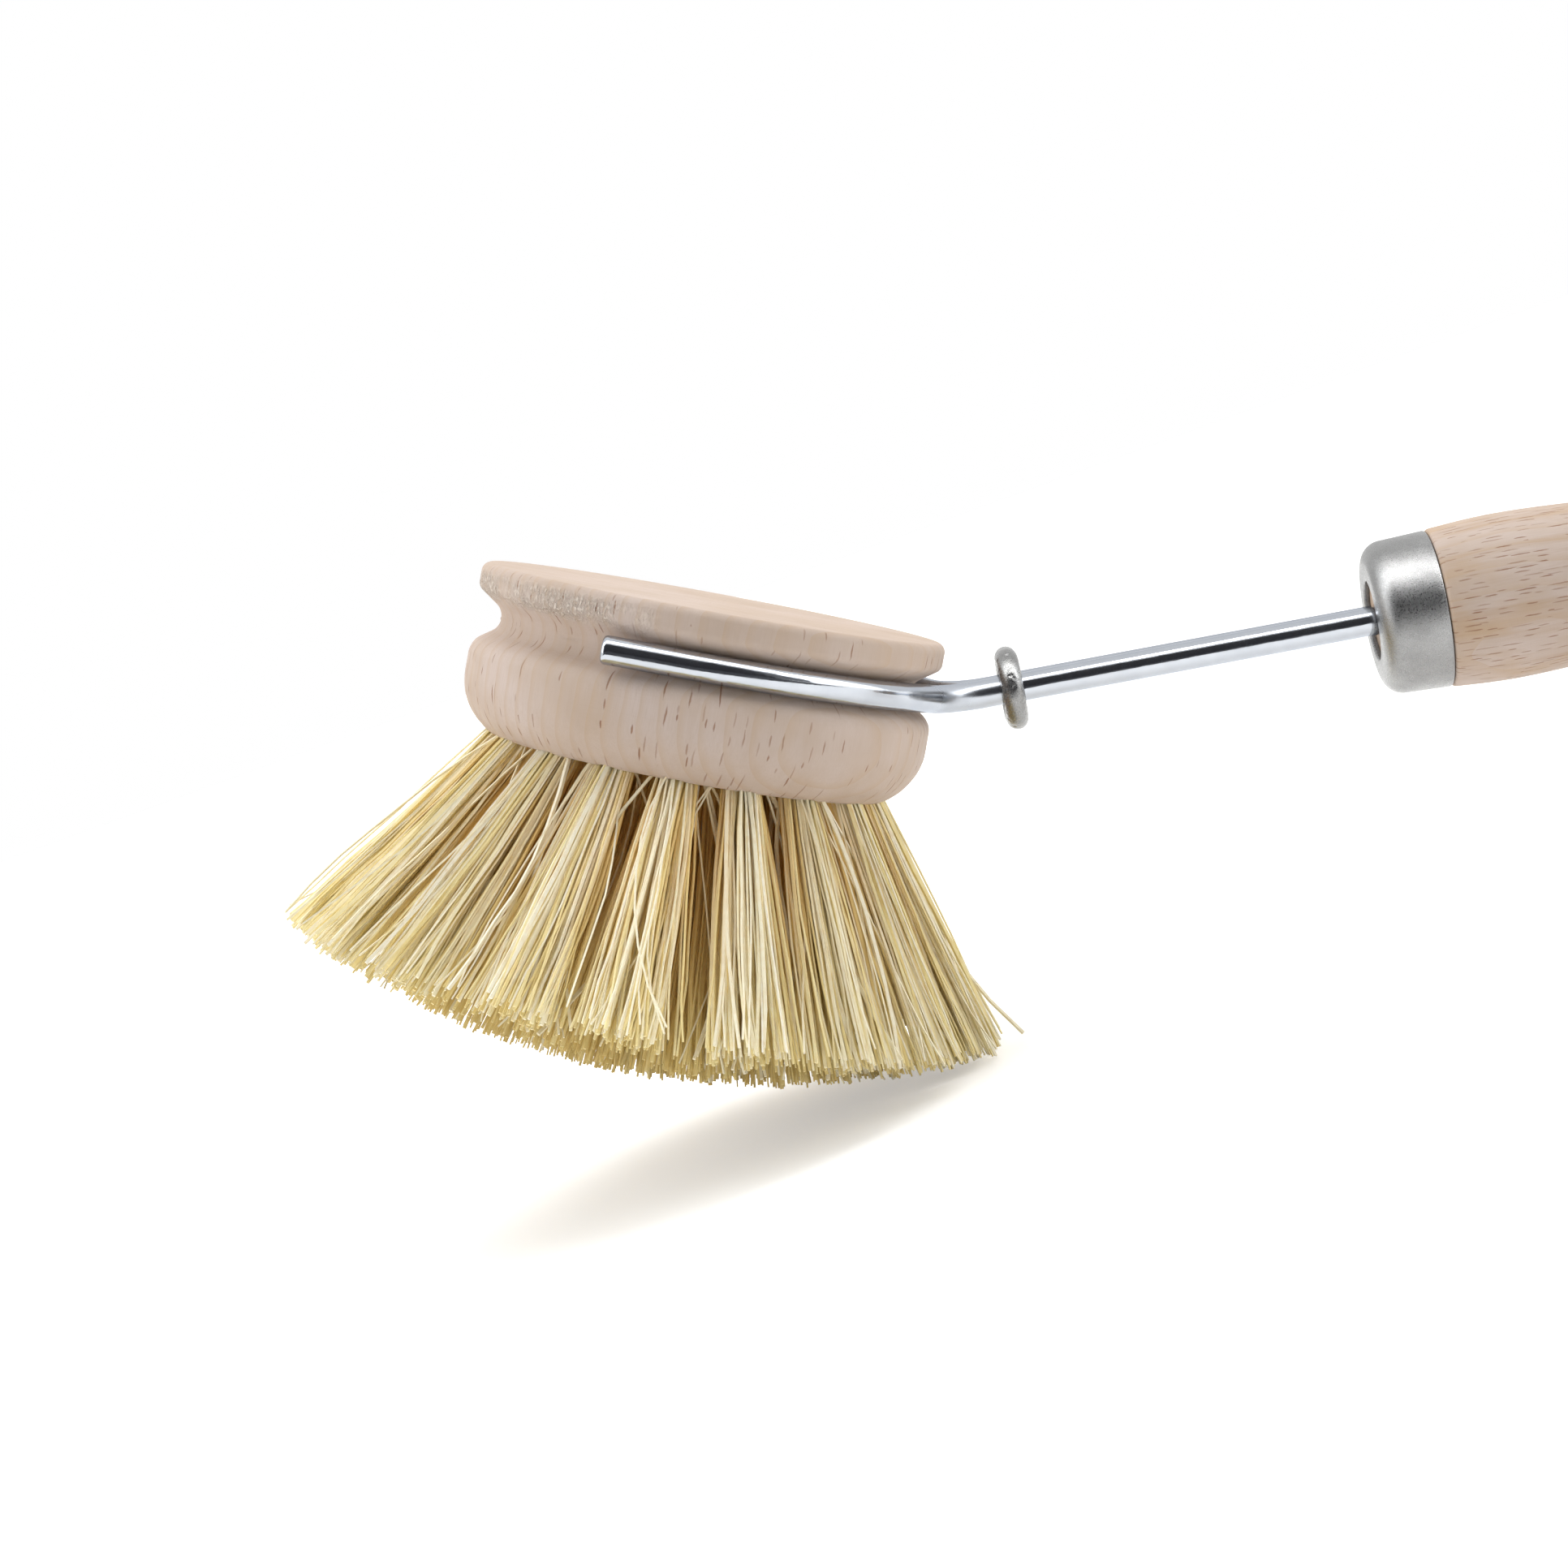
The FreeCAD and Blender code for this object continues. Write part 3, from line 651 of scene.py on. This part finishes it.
def fibreTree():
    tree = bpy.data.node_groups.new("fibreTufts", "GeometryNodeTree")
    for way in ("INPUT", "OUTPUT"):
        tree.interface.new_socket("Geometry", in_out=way, socket_type="NodeSocketGeometry")
    for name, kind in fibreInputs:
        tree.interface.new_socket(name, in_out="INPUT", socket_type="NodeSocket" + kind)
    w = Wiring(tree)
    given = w.node("NodeGroupInput").outputs
    index = w.output("GeometryNodeInputIndex")

    def draw(low, high, offset, key=index):
        return w.chance(low, high, w.add(given["Seed"], offset), key)

    tuftIndex = w.maths("FLOOR", w.maths("DIVIDE", index, given["Fibres"]))
    turn = w.maths("DIVIDE", w.times(w.add(tuftIndex, 0.5), 2 * math.pi), given["Tufts"])
    # a place in the round hole, kept in the flared tip so that fibres fan out
    reach = w.maths("SQRT", draw(0.0, 1.0, 1))
    angle = draw(0.0, 2 * math.pi, 2)
    deep = w.times(reach, w.maths("COSINE", angle))
    wide = w.times(reach, w.maths("SINE", angle))
    stray = w.maths("LESS_THAN", draw(0.0, 1.0, 3), given["Stray Share"])
    wander = w.add(w.times(stray, given["Stray Factor"]), 1.0)
    across = (0, 1, 0)
    rootRadius = w.subtract(given["Hole Radius"], given["Fibre Radius"])
    root = w.vector("ADD", given["Root"], w.scaled(given["Outward"], w.times(deep, rootRadius)))
    root = w.vector("ADD", root, w.scaled(across, w.times(wide, rootRadius)))
    root = w.vector("SUBTRACT", root, w.scaled(given["Axis"], given["Buried"]))
    tip = w.vector("ADD", given["Tip"], w.scaled(given["Outward"], w.times(deep, given["Half Depth"])))
    tip = w.vector("ADD", tip, w.scaled(across, w.times(wide, given["Half Width"])))
    shift = w.combine(draw(*fibre["tipOut"], 4), draw(-1.0, 1.0, 5))
    tip = w.vector("ADD", tip, w.scaled(shift, w.times(given["Jitter"], wander)))
    # whole tufts lean a little to one side
    leanAcross = draw(-1.0, 1.0, 12, tuftIndex)
    leanOut = draw(*fibre["tipOut"], 13, tuftIndex)
    tip = w.vector("ADD", tip, w.scaled(w.combine(leanOut, leanAcross), given["Tuft Lean"]))
    # tips are trimmed to the brush's dome
    flat = w.vector("MULTIPLY", tip, (1, 1, 0))
    fromAxis = w.measure("LENGTH", flat)
    fall = w.subtract(w.times(given["Dome Radius"], given["Dome Radius"]), w.times(fromAxis, fromAxis))
    level = w.subtract(given["Dome Centre"], w.maths("SQRT", fall))
    level = w.add(level, w.times(draw(*fibre["trimDraw"], 6), given["Trim"]))
    tip = w.vector("ADD", flat, w.combine(z=level))
    bow = w.combine(draw(*fibre["bowOut"], 7), draw(-1.0, 1.0, 8), draw(*fibre["bowUp"], 9))
    bend = w.scaled(bow, w.times(given["Bend"], wander))
    points = w.output("GeometryNodePoints", {"Count": w.times(given["Tufts"], given["Fibres"])})
    for name, vector in (("fibreRoot", root), ("fibreTip", tip), ("fibreBend", bend)):
        turned = w.output("ShaderNodeVectorRotate", {"Vector": vector, "Angle": turn},
                          rotation_type="Z_AXIS")
        points = w.store(points, name, turned, "FLOAT_VECTOR")
    # painted light and shade: pale on the side of the tuft that faces out, amber on the side that faces the
    # head's axis
    front = w.add(w.times(deep, 0.5), 0.5)
    outside = w.add(w.times(front, tones["facing"]), tones["turnedAway"])
    # the tone is random per fibre, times painted shade: each ring's palest caps it, so rings deep in the
    # brush stay darker
    tone = w.times(draw(*tones["draw"], 10), w.times(outside, given["Palest"]))
    points = w.store(points, "fibreToneAndShade", w.maths("MAXIMUM", tone, w.times(stray, tones["stray"])))
    # painted shade: the amber share, largest on the darker rings and on the side facing the head's axis;
    # strays keep less of it
    shadeAmber = w.subtract(w.subtract(tones["shadeAmberMost"], given["Palest"]), w.times(front, tones["shadeAmberFacing"]))
    clear = w.subtract(1.0, w.times(stray, tones["strayClear"]))
    points = w.store(points, "fibreShadeAmber", w.times(shadeAmber, clear))
    broad = w.times(w.maths("POWER", draw(0.0, 1.0, 11), fibre["broadPower"]), fibre["broader"])
    points = w.store(points, "fibreGirth", w.add(fibre["girth"], broad))
    # one strand a point, bowed and kinked between its root and its tip
    line = w.output("GeometryNodeCurvePrimitiveLine")
    strand = w.output("GeometryNodeResampleCurve", {0: line, "Count": given["Points"]})
    strands = w.output("GeometryNodeInstanceOnPoints", {"Points": points, "Instance": strand})
    strands = w.output("GeometryNodeRealizeInstances", {0: strands})
    along = w.output("GeometryNodeSplineParameter")
    ends = {0: along, 4: w.named("fibreRoot", "FLOAT_VECTOR"), 5: w.named("fibreTip", "FLOAT_VECTOR")}
    straight = w.node("ShaderNodeMix", ends, data_type="VECTOR").outputs[1]
    arch = w.times(along, w.subtract(1.0, along), 4.0)
    bowed = w.vector("ADD", straight, w.scaled(w.named("fibreBend", "FLOAT_VECTOR"), arch))
    key = w.combine(w.times(w.named("fibreToneAndShade"), fibre["waveSeeds"]), w.times(along, fibre["waves"]))
    kinked = w.scaled(w.noiseVector(key, *fibre["waveNoise"]), w.times(along, given["Kink"], 2.0))
    strands = w.output("GeometryNodeSetPosition", {0: strands, "Position": w.vector("ADD", bowed, kinked)})
    strands = w.store(strands, "alongFibre", along)
    thin = w.output("ShaderNodeMapRange", {"Value": along, "To Min": 1.0, "To Max": given["Taper"]})
    girth = w.times(given["Fibre Radius"], w.named("fibreGirth"), thin)
    outline = w.output("GeometryNodeCurvePrimitiveCircle", {"Resolution": given["Sides"], "Radius": 1.0})
    skin = w.output("GeometryNodeCurveToMesh", {"Curve": strands, "Profile Curve": outline, "Scale": girth,
                                                "Fill Caps": True})
    skin = w.output("GeometryNodeRealizeInstances", {0: skin})
    skin = w.output("GeometryNodeSetMaterial", {0: skin, "Material": given["Finish"]})
    w.node("NodeGroupOutput", {0: skin})
    return tree


def growFibres(tree, ring, material):
    root, tip, axis, outward = tuftLine(ring)
    values = {
        "Tufts": ring["count"], "Fibres": ring["fibres"], "Root": root, "Tip": tip, "Outward": outward,
        "Axis": axis, "Hole Radius": head["holeRadius"], "Half Depth": ring["halfDepth"],
        "Half Width": ring["halfWidth"], "Dome Radius": domeRadius,
        "Dome Centre": domeRadius - tufts["domeDrop"], "Fibre Radius": fibre["radius"],
        "Bend": fibre["bend"], "Kink": fibre["kink"], "Jitter": fibre["jitter"], "Trim": fibre["trim"],
        "Stray Share": ring["strayShare"], "Stray Factor": fibre["strayFactor"], "Buried": fibre["buried"],
        "Points": fibre["points"], "Sides": fibre["sides"], "Taper": fibre["taper"], "Seed": ring["seed"],
        "Tuft Lean": fibre["tuftLean"], "Palest": ring["palest"], "Finish": material,
    }
    holder = addObject("fibreHolder", bpy.data.meshes.new("fibreHolder"))
    modifier = holder.modifiers.new("fibres", "NODES")
    modifier.node_group = tree
    for item in tree.interface.items_tree:
        if item.item_type == "SOCKET" and item.in_out == "INPUT" and item.name in values:
            modifier[item.identifier] = values[item.name]
    mesh = evaluatedMesh(holder)
    holder.modifiers.clear()
    bpy.data.objects.remove(holder)
    mesh.name = ring["name"] + "Fibres"
    mesh.transform(headMatrix)
    return mesh


fibreFinish = fibreMaterial("plantFibre")
fibreNodes = fibreTree()
for ring in tufts["rings"]:
    fibreMesh = growFibres(fibreNodes, ring, fibreFinish)
    names = ["{}_tuft_{:02d}".format(ring["name"], index + 1) for index in range(ring["count"])]
    keepMesh(ring["name"] + "Fibres", fibreMesh, "head", names, fibreFinish,
             fibre["sharp"])
    print(ring["name"], "fibres done:", len(fibreMesh.polygons), "faces")


# wire fork

fork = {"wireRadius": 1.5 * mm, "grooveClearance": 0.3 * mm, "reach": 9.6 * mm, "wrapEnd": math.radians(30),
        "spread": math.radians(0.9), "elbowRadius": 7.0 * mm, "tipRound": 0.5 * mm, "pivotGap": 0.3 * mm,
        "sides": 40, "step": 0.7 * mm, "wrapSteps": 40, "elbowSteps": 24, "tipSteps": 6, "tipClear": 1.2,
        "sharp": 50}
armRadius = head["grooveRadius"] + fork["grooveClearance"] + fork["wireRadius"]


def runPoints(start, end):
    count = max(2, int((end - start).length / fork["step"]))
    return [start.lerp(end, step / count) for step in range(count + 1)]


def turnPoints(centre, start, end, count):
    # arc from start to end about a centre, less than half a turn
    radius = (start - centre).length
    first = (start - centre).normalized()
    last = (end - centre).normalized()
    return [centre + first.slerp(last, step / count) * radius for step in range(count + 1)]


def armPath(side):
    angle = fork["wrapEnd"]
    tip = headMatrix @ Vector((-fork["reach"], side * armRadius, 0))
    beside = headMatrix @ Vector((0, side * armRadius, 0))
    leave = headMatrix @ Vector((armRadius * math.cos(angle), side * armRadius * math.sin(angle), 0))
    runIn = headMatrix.to_3x3() @ Vector((math.sin(angle), -side * math.cos(angle), 0))
    pivot = pivots[side]
    # the elbow is where the run from the wrap meets the shank wire's own line
    outward = acrossAxis * side * math.sin(fork["spread"])
    forward = (-shankAlong * math.cos(fork["spread"]) + outward).normalized()
    distance = ((leave - pivot).cross(runIn)).length / forward.cross(runIn).length
    elbow = pivot + forward * distance
    inward = (leave - elbow).normalized()
    half = (math.pi - inward.angle(-forward)) / 2
    trim = fork["elbowRadius"] * math.tan(half)
    centre = elbow + (inward - forward).normalized() * (fork["elbowRadius"] / math.cos(half))
    bendStart = elbow + inward * trim
    bendEnd = elbow - forward * trim
    path = runPoints(tip, beside)
    path += turnPoints(headOrigin, beside, leave, fork["wrapSteps"])[1:]
    path += runPoints(leave, bendStart)[1:]
    path += turnPoints(centre, bendStart, bendEnd, fork["elbowSteps"])[1:]
    path += runPoints(bendEnd, pivot + forward * fork["pivotGap"])[1:]
    return path


def roundedTip(path, radius, cornerRound):
    # extra rings that round the first end of a tube
    heading = (path[1] - path[0]).normalized()
    points = []
    radii = []
    for step in range(fork["tipSteps"] + 1):
        angle = math.pi / 2 * step / fork["tipSteps"]
        points.append(path[0] + heading * cornerRound * (1 - math.cos(angle)))
        radii.append(radius - cornerRound * (1 - math.sin(angle)))
    clear = cornerRound * fork["tipClear"]
    rest = [point for point in path if (point - path[0]).dot(heading) > clear or point is path[-1]]
    return points + rest, radii + [radius] * len(rest)


platedWire = wireMaterial("platedWire")
for side, name in ((1, "left"), (-1, "right")):
    wirePath, wireRadii = roundedTip(armPath(side), fork["wireRadius"], fork["tipRound"])
    wireMesh = sweepMesh(name + "ForkWire", wirePath, wireRadii, fork["sides"])
    keepMesh(name + "ForkWire", wireMesh, name + "_arm", [name + "_fork_arm"], platedWire,
             fork["sharp"])
    setMaterial(frame["nodes"][name + "_wire_root"].data, platedWire)
print("wire fork done")


# lock ring

lockRing = {"wireRadius": 1.2 * mm, "heightClearance": 0.5 * mm, "sides": 64, "turnSteps": 120,
            "sideSteps": 6, "lump": 0.03 * mm, "lumpScale": 500, "pitScale": 1500, "pitLimit": 0.3,
            "pitDepth": 0.22 * mm, "nickAngle": math.radians(158), "nickHalf": (0.32 * mm, 0.11 * mm),
            "nickDepth": 0.16 * mm, "nickFacing": 0.5, "sharp": 60, "roughness": 0.27, "grain": 0.22 * mm,
            "pits": 0.5}
ringLow, ringHigh = (Vector(corner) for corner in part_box("lock_ring"))
ringCentre = (ringLow + ringHigh) / 2
ringHalfWidth = (ringHigh.y - ringLow.y) / 2 - lockRing["wireRadius"]
ringTurn = fork["wireRadius"] + lockRing["heightClearance"] + lockRing["wireRadius"]
ringStraight = ringHalfWidth - ringTurn


def ringPath():
    path = []
    for side, start in ((1, 90), (-1, 270)):
        for step in range(lockRing["turnSteps"] + 1):
            angle = math.radians(start - 180 * step / lockRing["turnSteps"])
            path.append(ringCentre + acrossAxis * (side * ringStraight + ringTurn * math.cos(angle))
                        + shankUp * ringTurn * math.sin(angle))
        far = path[-1]
        for step in range(1, lockRing["sideSteps"]):
            path.append(far - acrossAxis * side * 2 * ringStraight * step / lockRing["sideSteps"])
    return path


def pitRing(mesh):
    # lumps, pits and the small nick left where the ring's ends were joined, all pressed inwards
    angle = lockRing["nickAngle"]
    nickOut = acrossAxis * math.cos(angle) + shankUp * math.sin(angle)
    nickAlong = shankAlong.cross(nickOut)
    nick = ringCentre - acrossAxis * ringStraight + nickOut * (ringTurn + lockRing["wireRadius"])
    wide, tall = lockRing["nickHalf"]
    normals = [vertex.normal.copy() for vertex in mesh.vertices]
    for vertex, normal in zip(mesh.vertices, normals):
        local = vertex.co - ringCentre
        press = lockRing["lump"] * (0.5 + 0.5 * noise.noise(local * lockRing["lumpScale"]))
        pit = noise.noise(local * lockRing["pitScale"]) - lockRing["pitLimit"]
        press += max(0.0, pit) * lockRing["pitDepth"]
        away = vertex.co - nick
        share = math.hypot(away.dot(shankAlong) / wide, away.dot(nickAlong) / tall)
        if share < 1 and normal.dot(nickOut) > lockRing["nickFacing"]:
            press += lockRing["nickDepth"] * (1 - share * share)
        vertex.co -= normal * press


dullRing = castMaterial("dullRing", cast["ring"], lockRing["roughness"], lockRing["grain"], lockRing["pits"])
ringLoop = ringPath()
ringRadii = [lockRing["wireRadius"]] * len(ringLoop)
ringMesh = sweepMesh("lockRing", ringLoop, ringRadii, lockRing["sides"], closed=True)
pitRing(ringMesh)
keepMesh("lockRing", ringMesh, "lock_ring", ["lock_ring"], dullRing, lockRing["sharp"])
print("lock ring done")


# ferrule cap and handle

cap = {"length": 7.05 * mm, "frontRadius": 8.25 * mm, "rearRadius": 8.45 * mm, "wall": 0.6 * mm,
       "corner": 2.2 * mm, "mouth": 4.25 * mm, "lipRound": 0.22 * mm, "edgeShare": 0.3, "seat": 0.06 * mm,
       "segments": 160, "sharp": 40, "roughness": 0.3, "grain": 0.16 * mm, "pits": 0.25}
grip = {"length": 146.0 * mm, "shoulder": 8.55 * mm, "shoulderRound": 0.5 * mm, "end": 7.6 * mm,
        "stations": ((12.5 * mm, 8.85 * mm), (23.0 * mm, 8.5 * mm), (58.0 * mm, 7.1 * mm),
                     (108.0 * mm, 9.2 * mm)),
        "sideSteps": 110, "segments": 144, "holeRadius": 2.5 * mm, "holeFromEnd": 13.0 * mm,
        "drill": 30 * mm, "holeSides": 64, "sideFrom": 6.0 * mm, "streaks": 0.78,
        "flecks": {"cellWidth": 0.72 * mm, "cellLength": 2.0 * mm, "halfWidth": 0.08 * mm,
                   "halfLength": 1.2 * mm, "share": 0.8}}
staple = {"roughness": 0.4, "grain": 0.2 * mm, "pits": 0.3}
woodFace = cap["wall"] + cap["seat"]
# local Z runs along the handle, local X up
handleMatrix = frameMatrix(shankUp, -acrossAxis, shankAlong, pivotMiddle - shankAlong * woodFace)


def capProfile():
    c = cap
    lip = c["lipRound"]
    edge = c["edgeShare"] * lip
    slope = (c["rearRadius"] - c["frontRadius"]) / (c["length"] - c["corner"])
    sideEnd = (c["rearRadius"] - slope * lip, c["length"] - lip)
    innerFront = c["frontRadius"] - c["wall"]
    innerCorner = c["corner"] - c["wall"]
    return joinRuns(
        arcPoints((c["mouth"] + lip, lip), lip, 180, 270, 5),
        straightPoints((c["mouth"] + lip, 0), (c["frontRadius"] - c["corner"], 0), 3),
        arcPoints((c["frontRadius"] - c["corner"], c["corner"]), c["corner"], -90, 0, 14),
        straightPoints((c["frontRadius"], c["corner"]), sideEnd, 6),
        [(c["rearRadius"] - edge, c["length"] - edge), (c["rearRadius"] - lip, c["length"])],
        straightPoints((c["rearRadius"] - c["wall"], c["length"]), (innerFront, c["corner"]), 4),
        arcPoints((innerFront - innerCorner, c["corner"]), innerCorner, 0, -90, 8),
        straightPoints((innerFront - innerCorner, c["wall"]), (c["mouth"], c["wall"]), 3),
    )


def smoothSide(stations, count):
    # natural cubic through the stations, sampled evenly
    xs = [station[0] for station in stations]
    ys = [station[1] for station in stations]
    last = len(xs) - 1
    steps = [xs[i + 1] - xs[i] for i in range(last)]
    slopes = [(ys[i + 1] - ys[i]) / steps[i] for i in range(last)]
    upper, answer, bends = [0.0] * (last + 1), [0.0] * (last + 1), [0.0] * (last + 1)
    for i in range(1, last):
        pivot = 2 * (xs[i + 1] - xs[i - 1]) - steps[i - 1] * upper[i - 1]
        upper[i] = steps[i] / pivot
        answer[i] = (3 * (slopes[i] - slopes[i - 1]) - steps[i - 1] * answer[i - 1]) / pivot
    for i in range(last - 1, 0, -1):
        bends[i] = answer[i] - upper[i] * bends[i + 1]
    points = []
    for sample in range(count + 1):
        x = xs[0] + (xs[-1] - xs[0]) * sample / count
        i = max(j for j in range(last) if x >= xs[j] - smallest)
        gap = x - xs[i]
        first = slopes[i] - steps[i] * (2 * bends[i] + bends[i + 1]) / 3
        cubic = (bends[i + 1] - bends[i]) / (3 * steps[i])
        points.append((ys[i] + first * gap + bends[i] * gap ** 2 + cubic * gap ** 3, x))
    return points


def gripProfile():
    c, g = cap, grip
    tenonFront = c["frontRadius"] - c["wall"] - c["seat"]
    tenonRear = c["rearRadius"] - c["wall"] - c["seat"]
    tenonRound = c["corner"] - c["wall"]
    shoulder = c["length"] + c["seat"]
    turnStart = shoulder + g["shoulderRound"]
    endCentre = g["length"] - g["end"]
    stations = ((turnStart, g["shoulder"]),) + g["stations"] + ((endCentre, g["end"]),)
    return joinRuns(
        straightPoints((0, woodFace), (tenonFront - tenonRound, woodFace), 6),
        arcPoints((tenonFront - tenonRound, woodFace + tenonRound), tenonRound, -90, 0, 6),
        [(tenonRear, shoulder)],
        arcPoints((g["shoulder"] - g["shoulderRound"], turnStart), g["shoulderRound"], -90, 0, 8),
        smoothSide(stations, g["sideSteps"]),
        arcPoints((0, endCentre), g["end"], 0, 90, 24),
    )


def holeCutter():
    build = bmesh.new()
    turn = Matrix.Rotation(math.pi / 2, 4, "Y")
    place = handleMatrix @ Matrix.Translation((0, 0, grip["length"] - grip["holeFromEnd"])) @ turn
    addDrill(build, grip["holeRadius"], grip["drill"], grip["holeSides"], place)
    return builtMesh("holeCutter", build)


satinCap = castMaterial("satinCap", cast["cap"], cap["roughness"], cap["grain"], cap["pits"])
capMesh = spinMesh("ferruleCap", capProfile(), cap["segments"], handleMatrix, closed=True)
keepMesh("ferruleCap", capMesh, "handle", ["ferrule"], satinCap, cap["sharp"])
beechGrip = beechMaterial("beechGrip", handleMatrix, 1, grip["shoulder"], grip["flecks"], grip["sideFrom"],
                          grip["length"], grip["streaks"])
gripMesh = cutMesh(spinMesh("turnedHandle", gripProfile(), grip["segments"], handleMatrix), holeCutter())
keepMesh("turnedHandle", gripMesh, "handle", ["handle"], beechGrip)
anchorMetal = castMaterial("anchorWire", cast["cap"], staple["roughness"], staple["grain"], staple["pits"])
for ring in tufts["rings"]:
    setMaterial(frame["nodes"][ring["name"] + "_tuft_anchors"].data, anchorMetal)
print("ferrule and handle done")


# stage, light and camera

white = (1, 1, 1, 1)
stage = {"floorHalf": 3.0, "floorColour": (0.9, 0.9, 0.9, 1), "floorRoughness": 0.9, "floorGlow": 0.35,
         "worldLight": 0.57, "worldTint": (1, 0.95, 0.87, 1), "sunTint": (0.95, 0.975, 1)}
card = {"colour": (0.03, 0.03, 0.035, 1), "width": 1.1, "height": 1.15, "away": 0.75, "lift": 0.15,
        "greyColour": (0.16, 0.16, 0.17, 1), "greyWidth": 2.4, "greyGap": 0.01, "sillNear": 0.13,
        "sillLift": 2 * mm}
strip = {"length": 2.4, "width": 0.3, "away": 0.95, "elevation": math.radians(64), "brightness": 6.0}
# each sun's heading to the camera's right, up and back, then its power and its spread in degrees
suns = {"topSun": ((0.2, -1.0, 0.25), 2.15, 70), "leftSun": ((1.0, -0.35, -0.35), 1.5, 60),
        "rightSun": ((-1.0, -0.35, -0.25), 1.45, 60)}
# the camera's pose in the head's frame, fitted to the photograph
view = {"place": Vector((13.87, -396.44, 22.0)) * mm, "right": Vector((0.98350, 0.02325, 0.17943)),
        "forward": Vector((-0.00789, 0.99628, -0.08586)), "focalPixels": 4563.0, "imagePixels": 1932.0,
        "sensor": 36.0, "nearest": 0.01, "farthest": 50}


def panel(name, centre, half, tall):
    # one flat face with its material
    mesh = bpy.data.meshes.new(name)
    corners = [centre - half - tall, centre + half - tall, centre + half + tall, centre - half + tall]
    mesh.from_pydata(corners, [], [(0, 1, 2, 3)])
    item = addObject(name, mesh)
    material, w = newMaterial(name)
    mesh.materials.append(material)
    return item, w


def studioFloor():
    half = stage["floorHalf"]
    w = panel("studioFloor", Vector((0, 0, 0)), Vector((half, 0, 0)), Vector((0, half, 0)))[1]
    glow = w.times(w.seen(), stage["floorGlow"])
    w.surface({"Base Color": stage["floorColour"], "Roughness": stage["floorRoughness"],
               "Specular IOR Level": 0.0, "Emission Color": white, "Emission Strength": glow})


def darkCard(name, centre, across, upright, colour):
    # a dark panel that the bright wire mirrors, behind the camera
    item, w = panel(name, centre, across / 2, upright / 2)
    w.surface({"Base Color": colour, "Roughness": 1.0})
    item.visible_camera = False
    item.visible_shadow = False
    return item


def studioWorld():
    world = bpy.data.worlds.new("studioWorld")
    bpy.context.scene.world = world
    world.use_nodes = True
    w = Wiring(world.node_tree)
    sockets = world.node_tree.nodes["Background"].inputs
    seen = w.seen()
    w.feed(sockets["Color"], w.mix(seen, stage["worldTint"], white))
    w.feed(sockets["Strength"], w.spread(seen, 0, 1, stage["worldLight"], 1.0))


def addSun(name, heading, power, spread):
    data = bpy.data.lights.new(name, "SUN")
    data.energy = power
    data.angle = math.radians(spread)
    data.color = stage["sunTint"]
    lamp = addObject(name, data)
    lamp.rotation_euler = heading.to_track_quat("-Z", "Y").to_euler()
    return lamp


def stripLight(right, up, back):
    # a long lamp over the camera that only reflections see: the bright line along the wire
    data = bpy.data.lights.new("stripLight", "AREA")
    data.shape = "RECTANGLE"
    data.size = strip["length"]
    data.size_y = strip["width"]
    data.energy = strip["brightness"] * math.pi * strip["length"] * strip["width"]
    lamp = addObject("stripLight", data)
    towards = back * math.cos(strip["elevation"]) + up * math.sin(strip["elevation"])
    place = headOrigin + towards * strip["away"]
    lamp.matrix_world = frameMatrix(right, towards.cross(right), towards, place)
    lamp.visible_diffuse = False
    lamp.visible_camera = False


def darkCards(right, up, back):
    centre = headOrigin + back * card["away"] + up * card["lift"]
    upright = up * card["height"]
    darkCard("darkCard", centre, right * card["width"], upright, card["colour"])
    # a wider grey one behind it, so that the dark band fades where the wire curves away
    darkCard("greyCard", centre + back * card["greyGap"], right * card["greyWidth"], upright,
             card["greyColour"])
    # a strip along the floor that only reflections see, so the wire's dark band is as wide as it should be
    floorBack = Vector((back.x, back.y, 0)).normalized()
    floorRight = Vector((-floorBack.y, floorBack.x, 0))
    sillMiddle = Vector((headOrigin.x, headOrigin.y, card["sillLift"]))
    sillMiddle += floorBack * (card["sillNear"] + card["away"]) / 2
    sill = darkCard("darkSill", sillMiddle, floorRight * card["width"],
                    floorBack * (card["away"] - card["sillNear"]), card["colour"])
    sill.visible_diffuse = False


def studioCamera():
    data = bpy.data.cameras.new("photoCamera")
    data.sensor_fit = "HORIZONTAL"
    data.sensor_width = view["sensor"]
    data.lens = view["focalPixels"] / view["imagePixels"] * view["sensor"]
    data.clip_start = view["nearest"]
    data.clip_end = view["farthest"]
    camera = addObject("photoCamera", data)
    turn = headMatrix.to_3x3()
    forward = (turn @ view["forward"]).normalized()
    right = turn @ view["right"]
    right = (right - forward * right.dot(forward)).normalized()
    camera.matrix_world = frameMatrix(right, right.cross(forward), -forward, headMatrix @ view["place"])
    bpy.context.scene.camera = camera
    return [camera.matrix_world.col[axis].to_3d() for axis in range(3)]


studioFloor()
studioWorld()
cameraRight, cameraUp, cameraBack = studioCamera()
darkCards(cameraRight, cameraUp, cameraBack)
for name, ((right, up, back), power, spread) in suns.items():
    lamp = addSun(name, cameraRight * right + cameraUp * up + cameraBack * back, power, spread)
    # the wire's bright line is left to the strip light
    lamp.visible_glossy = name != "topSun"
stripLight(cameraRight, cameraUp, cameraBack)
bpy.context.scene.view_settings.view_transform = "Standard"
print("stage done")
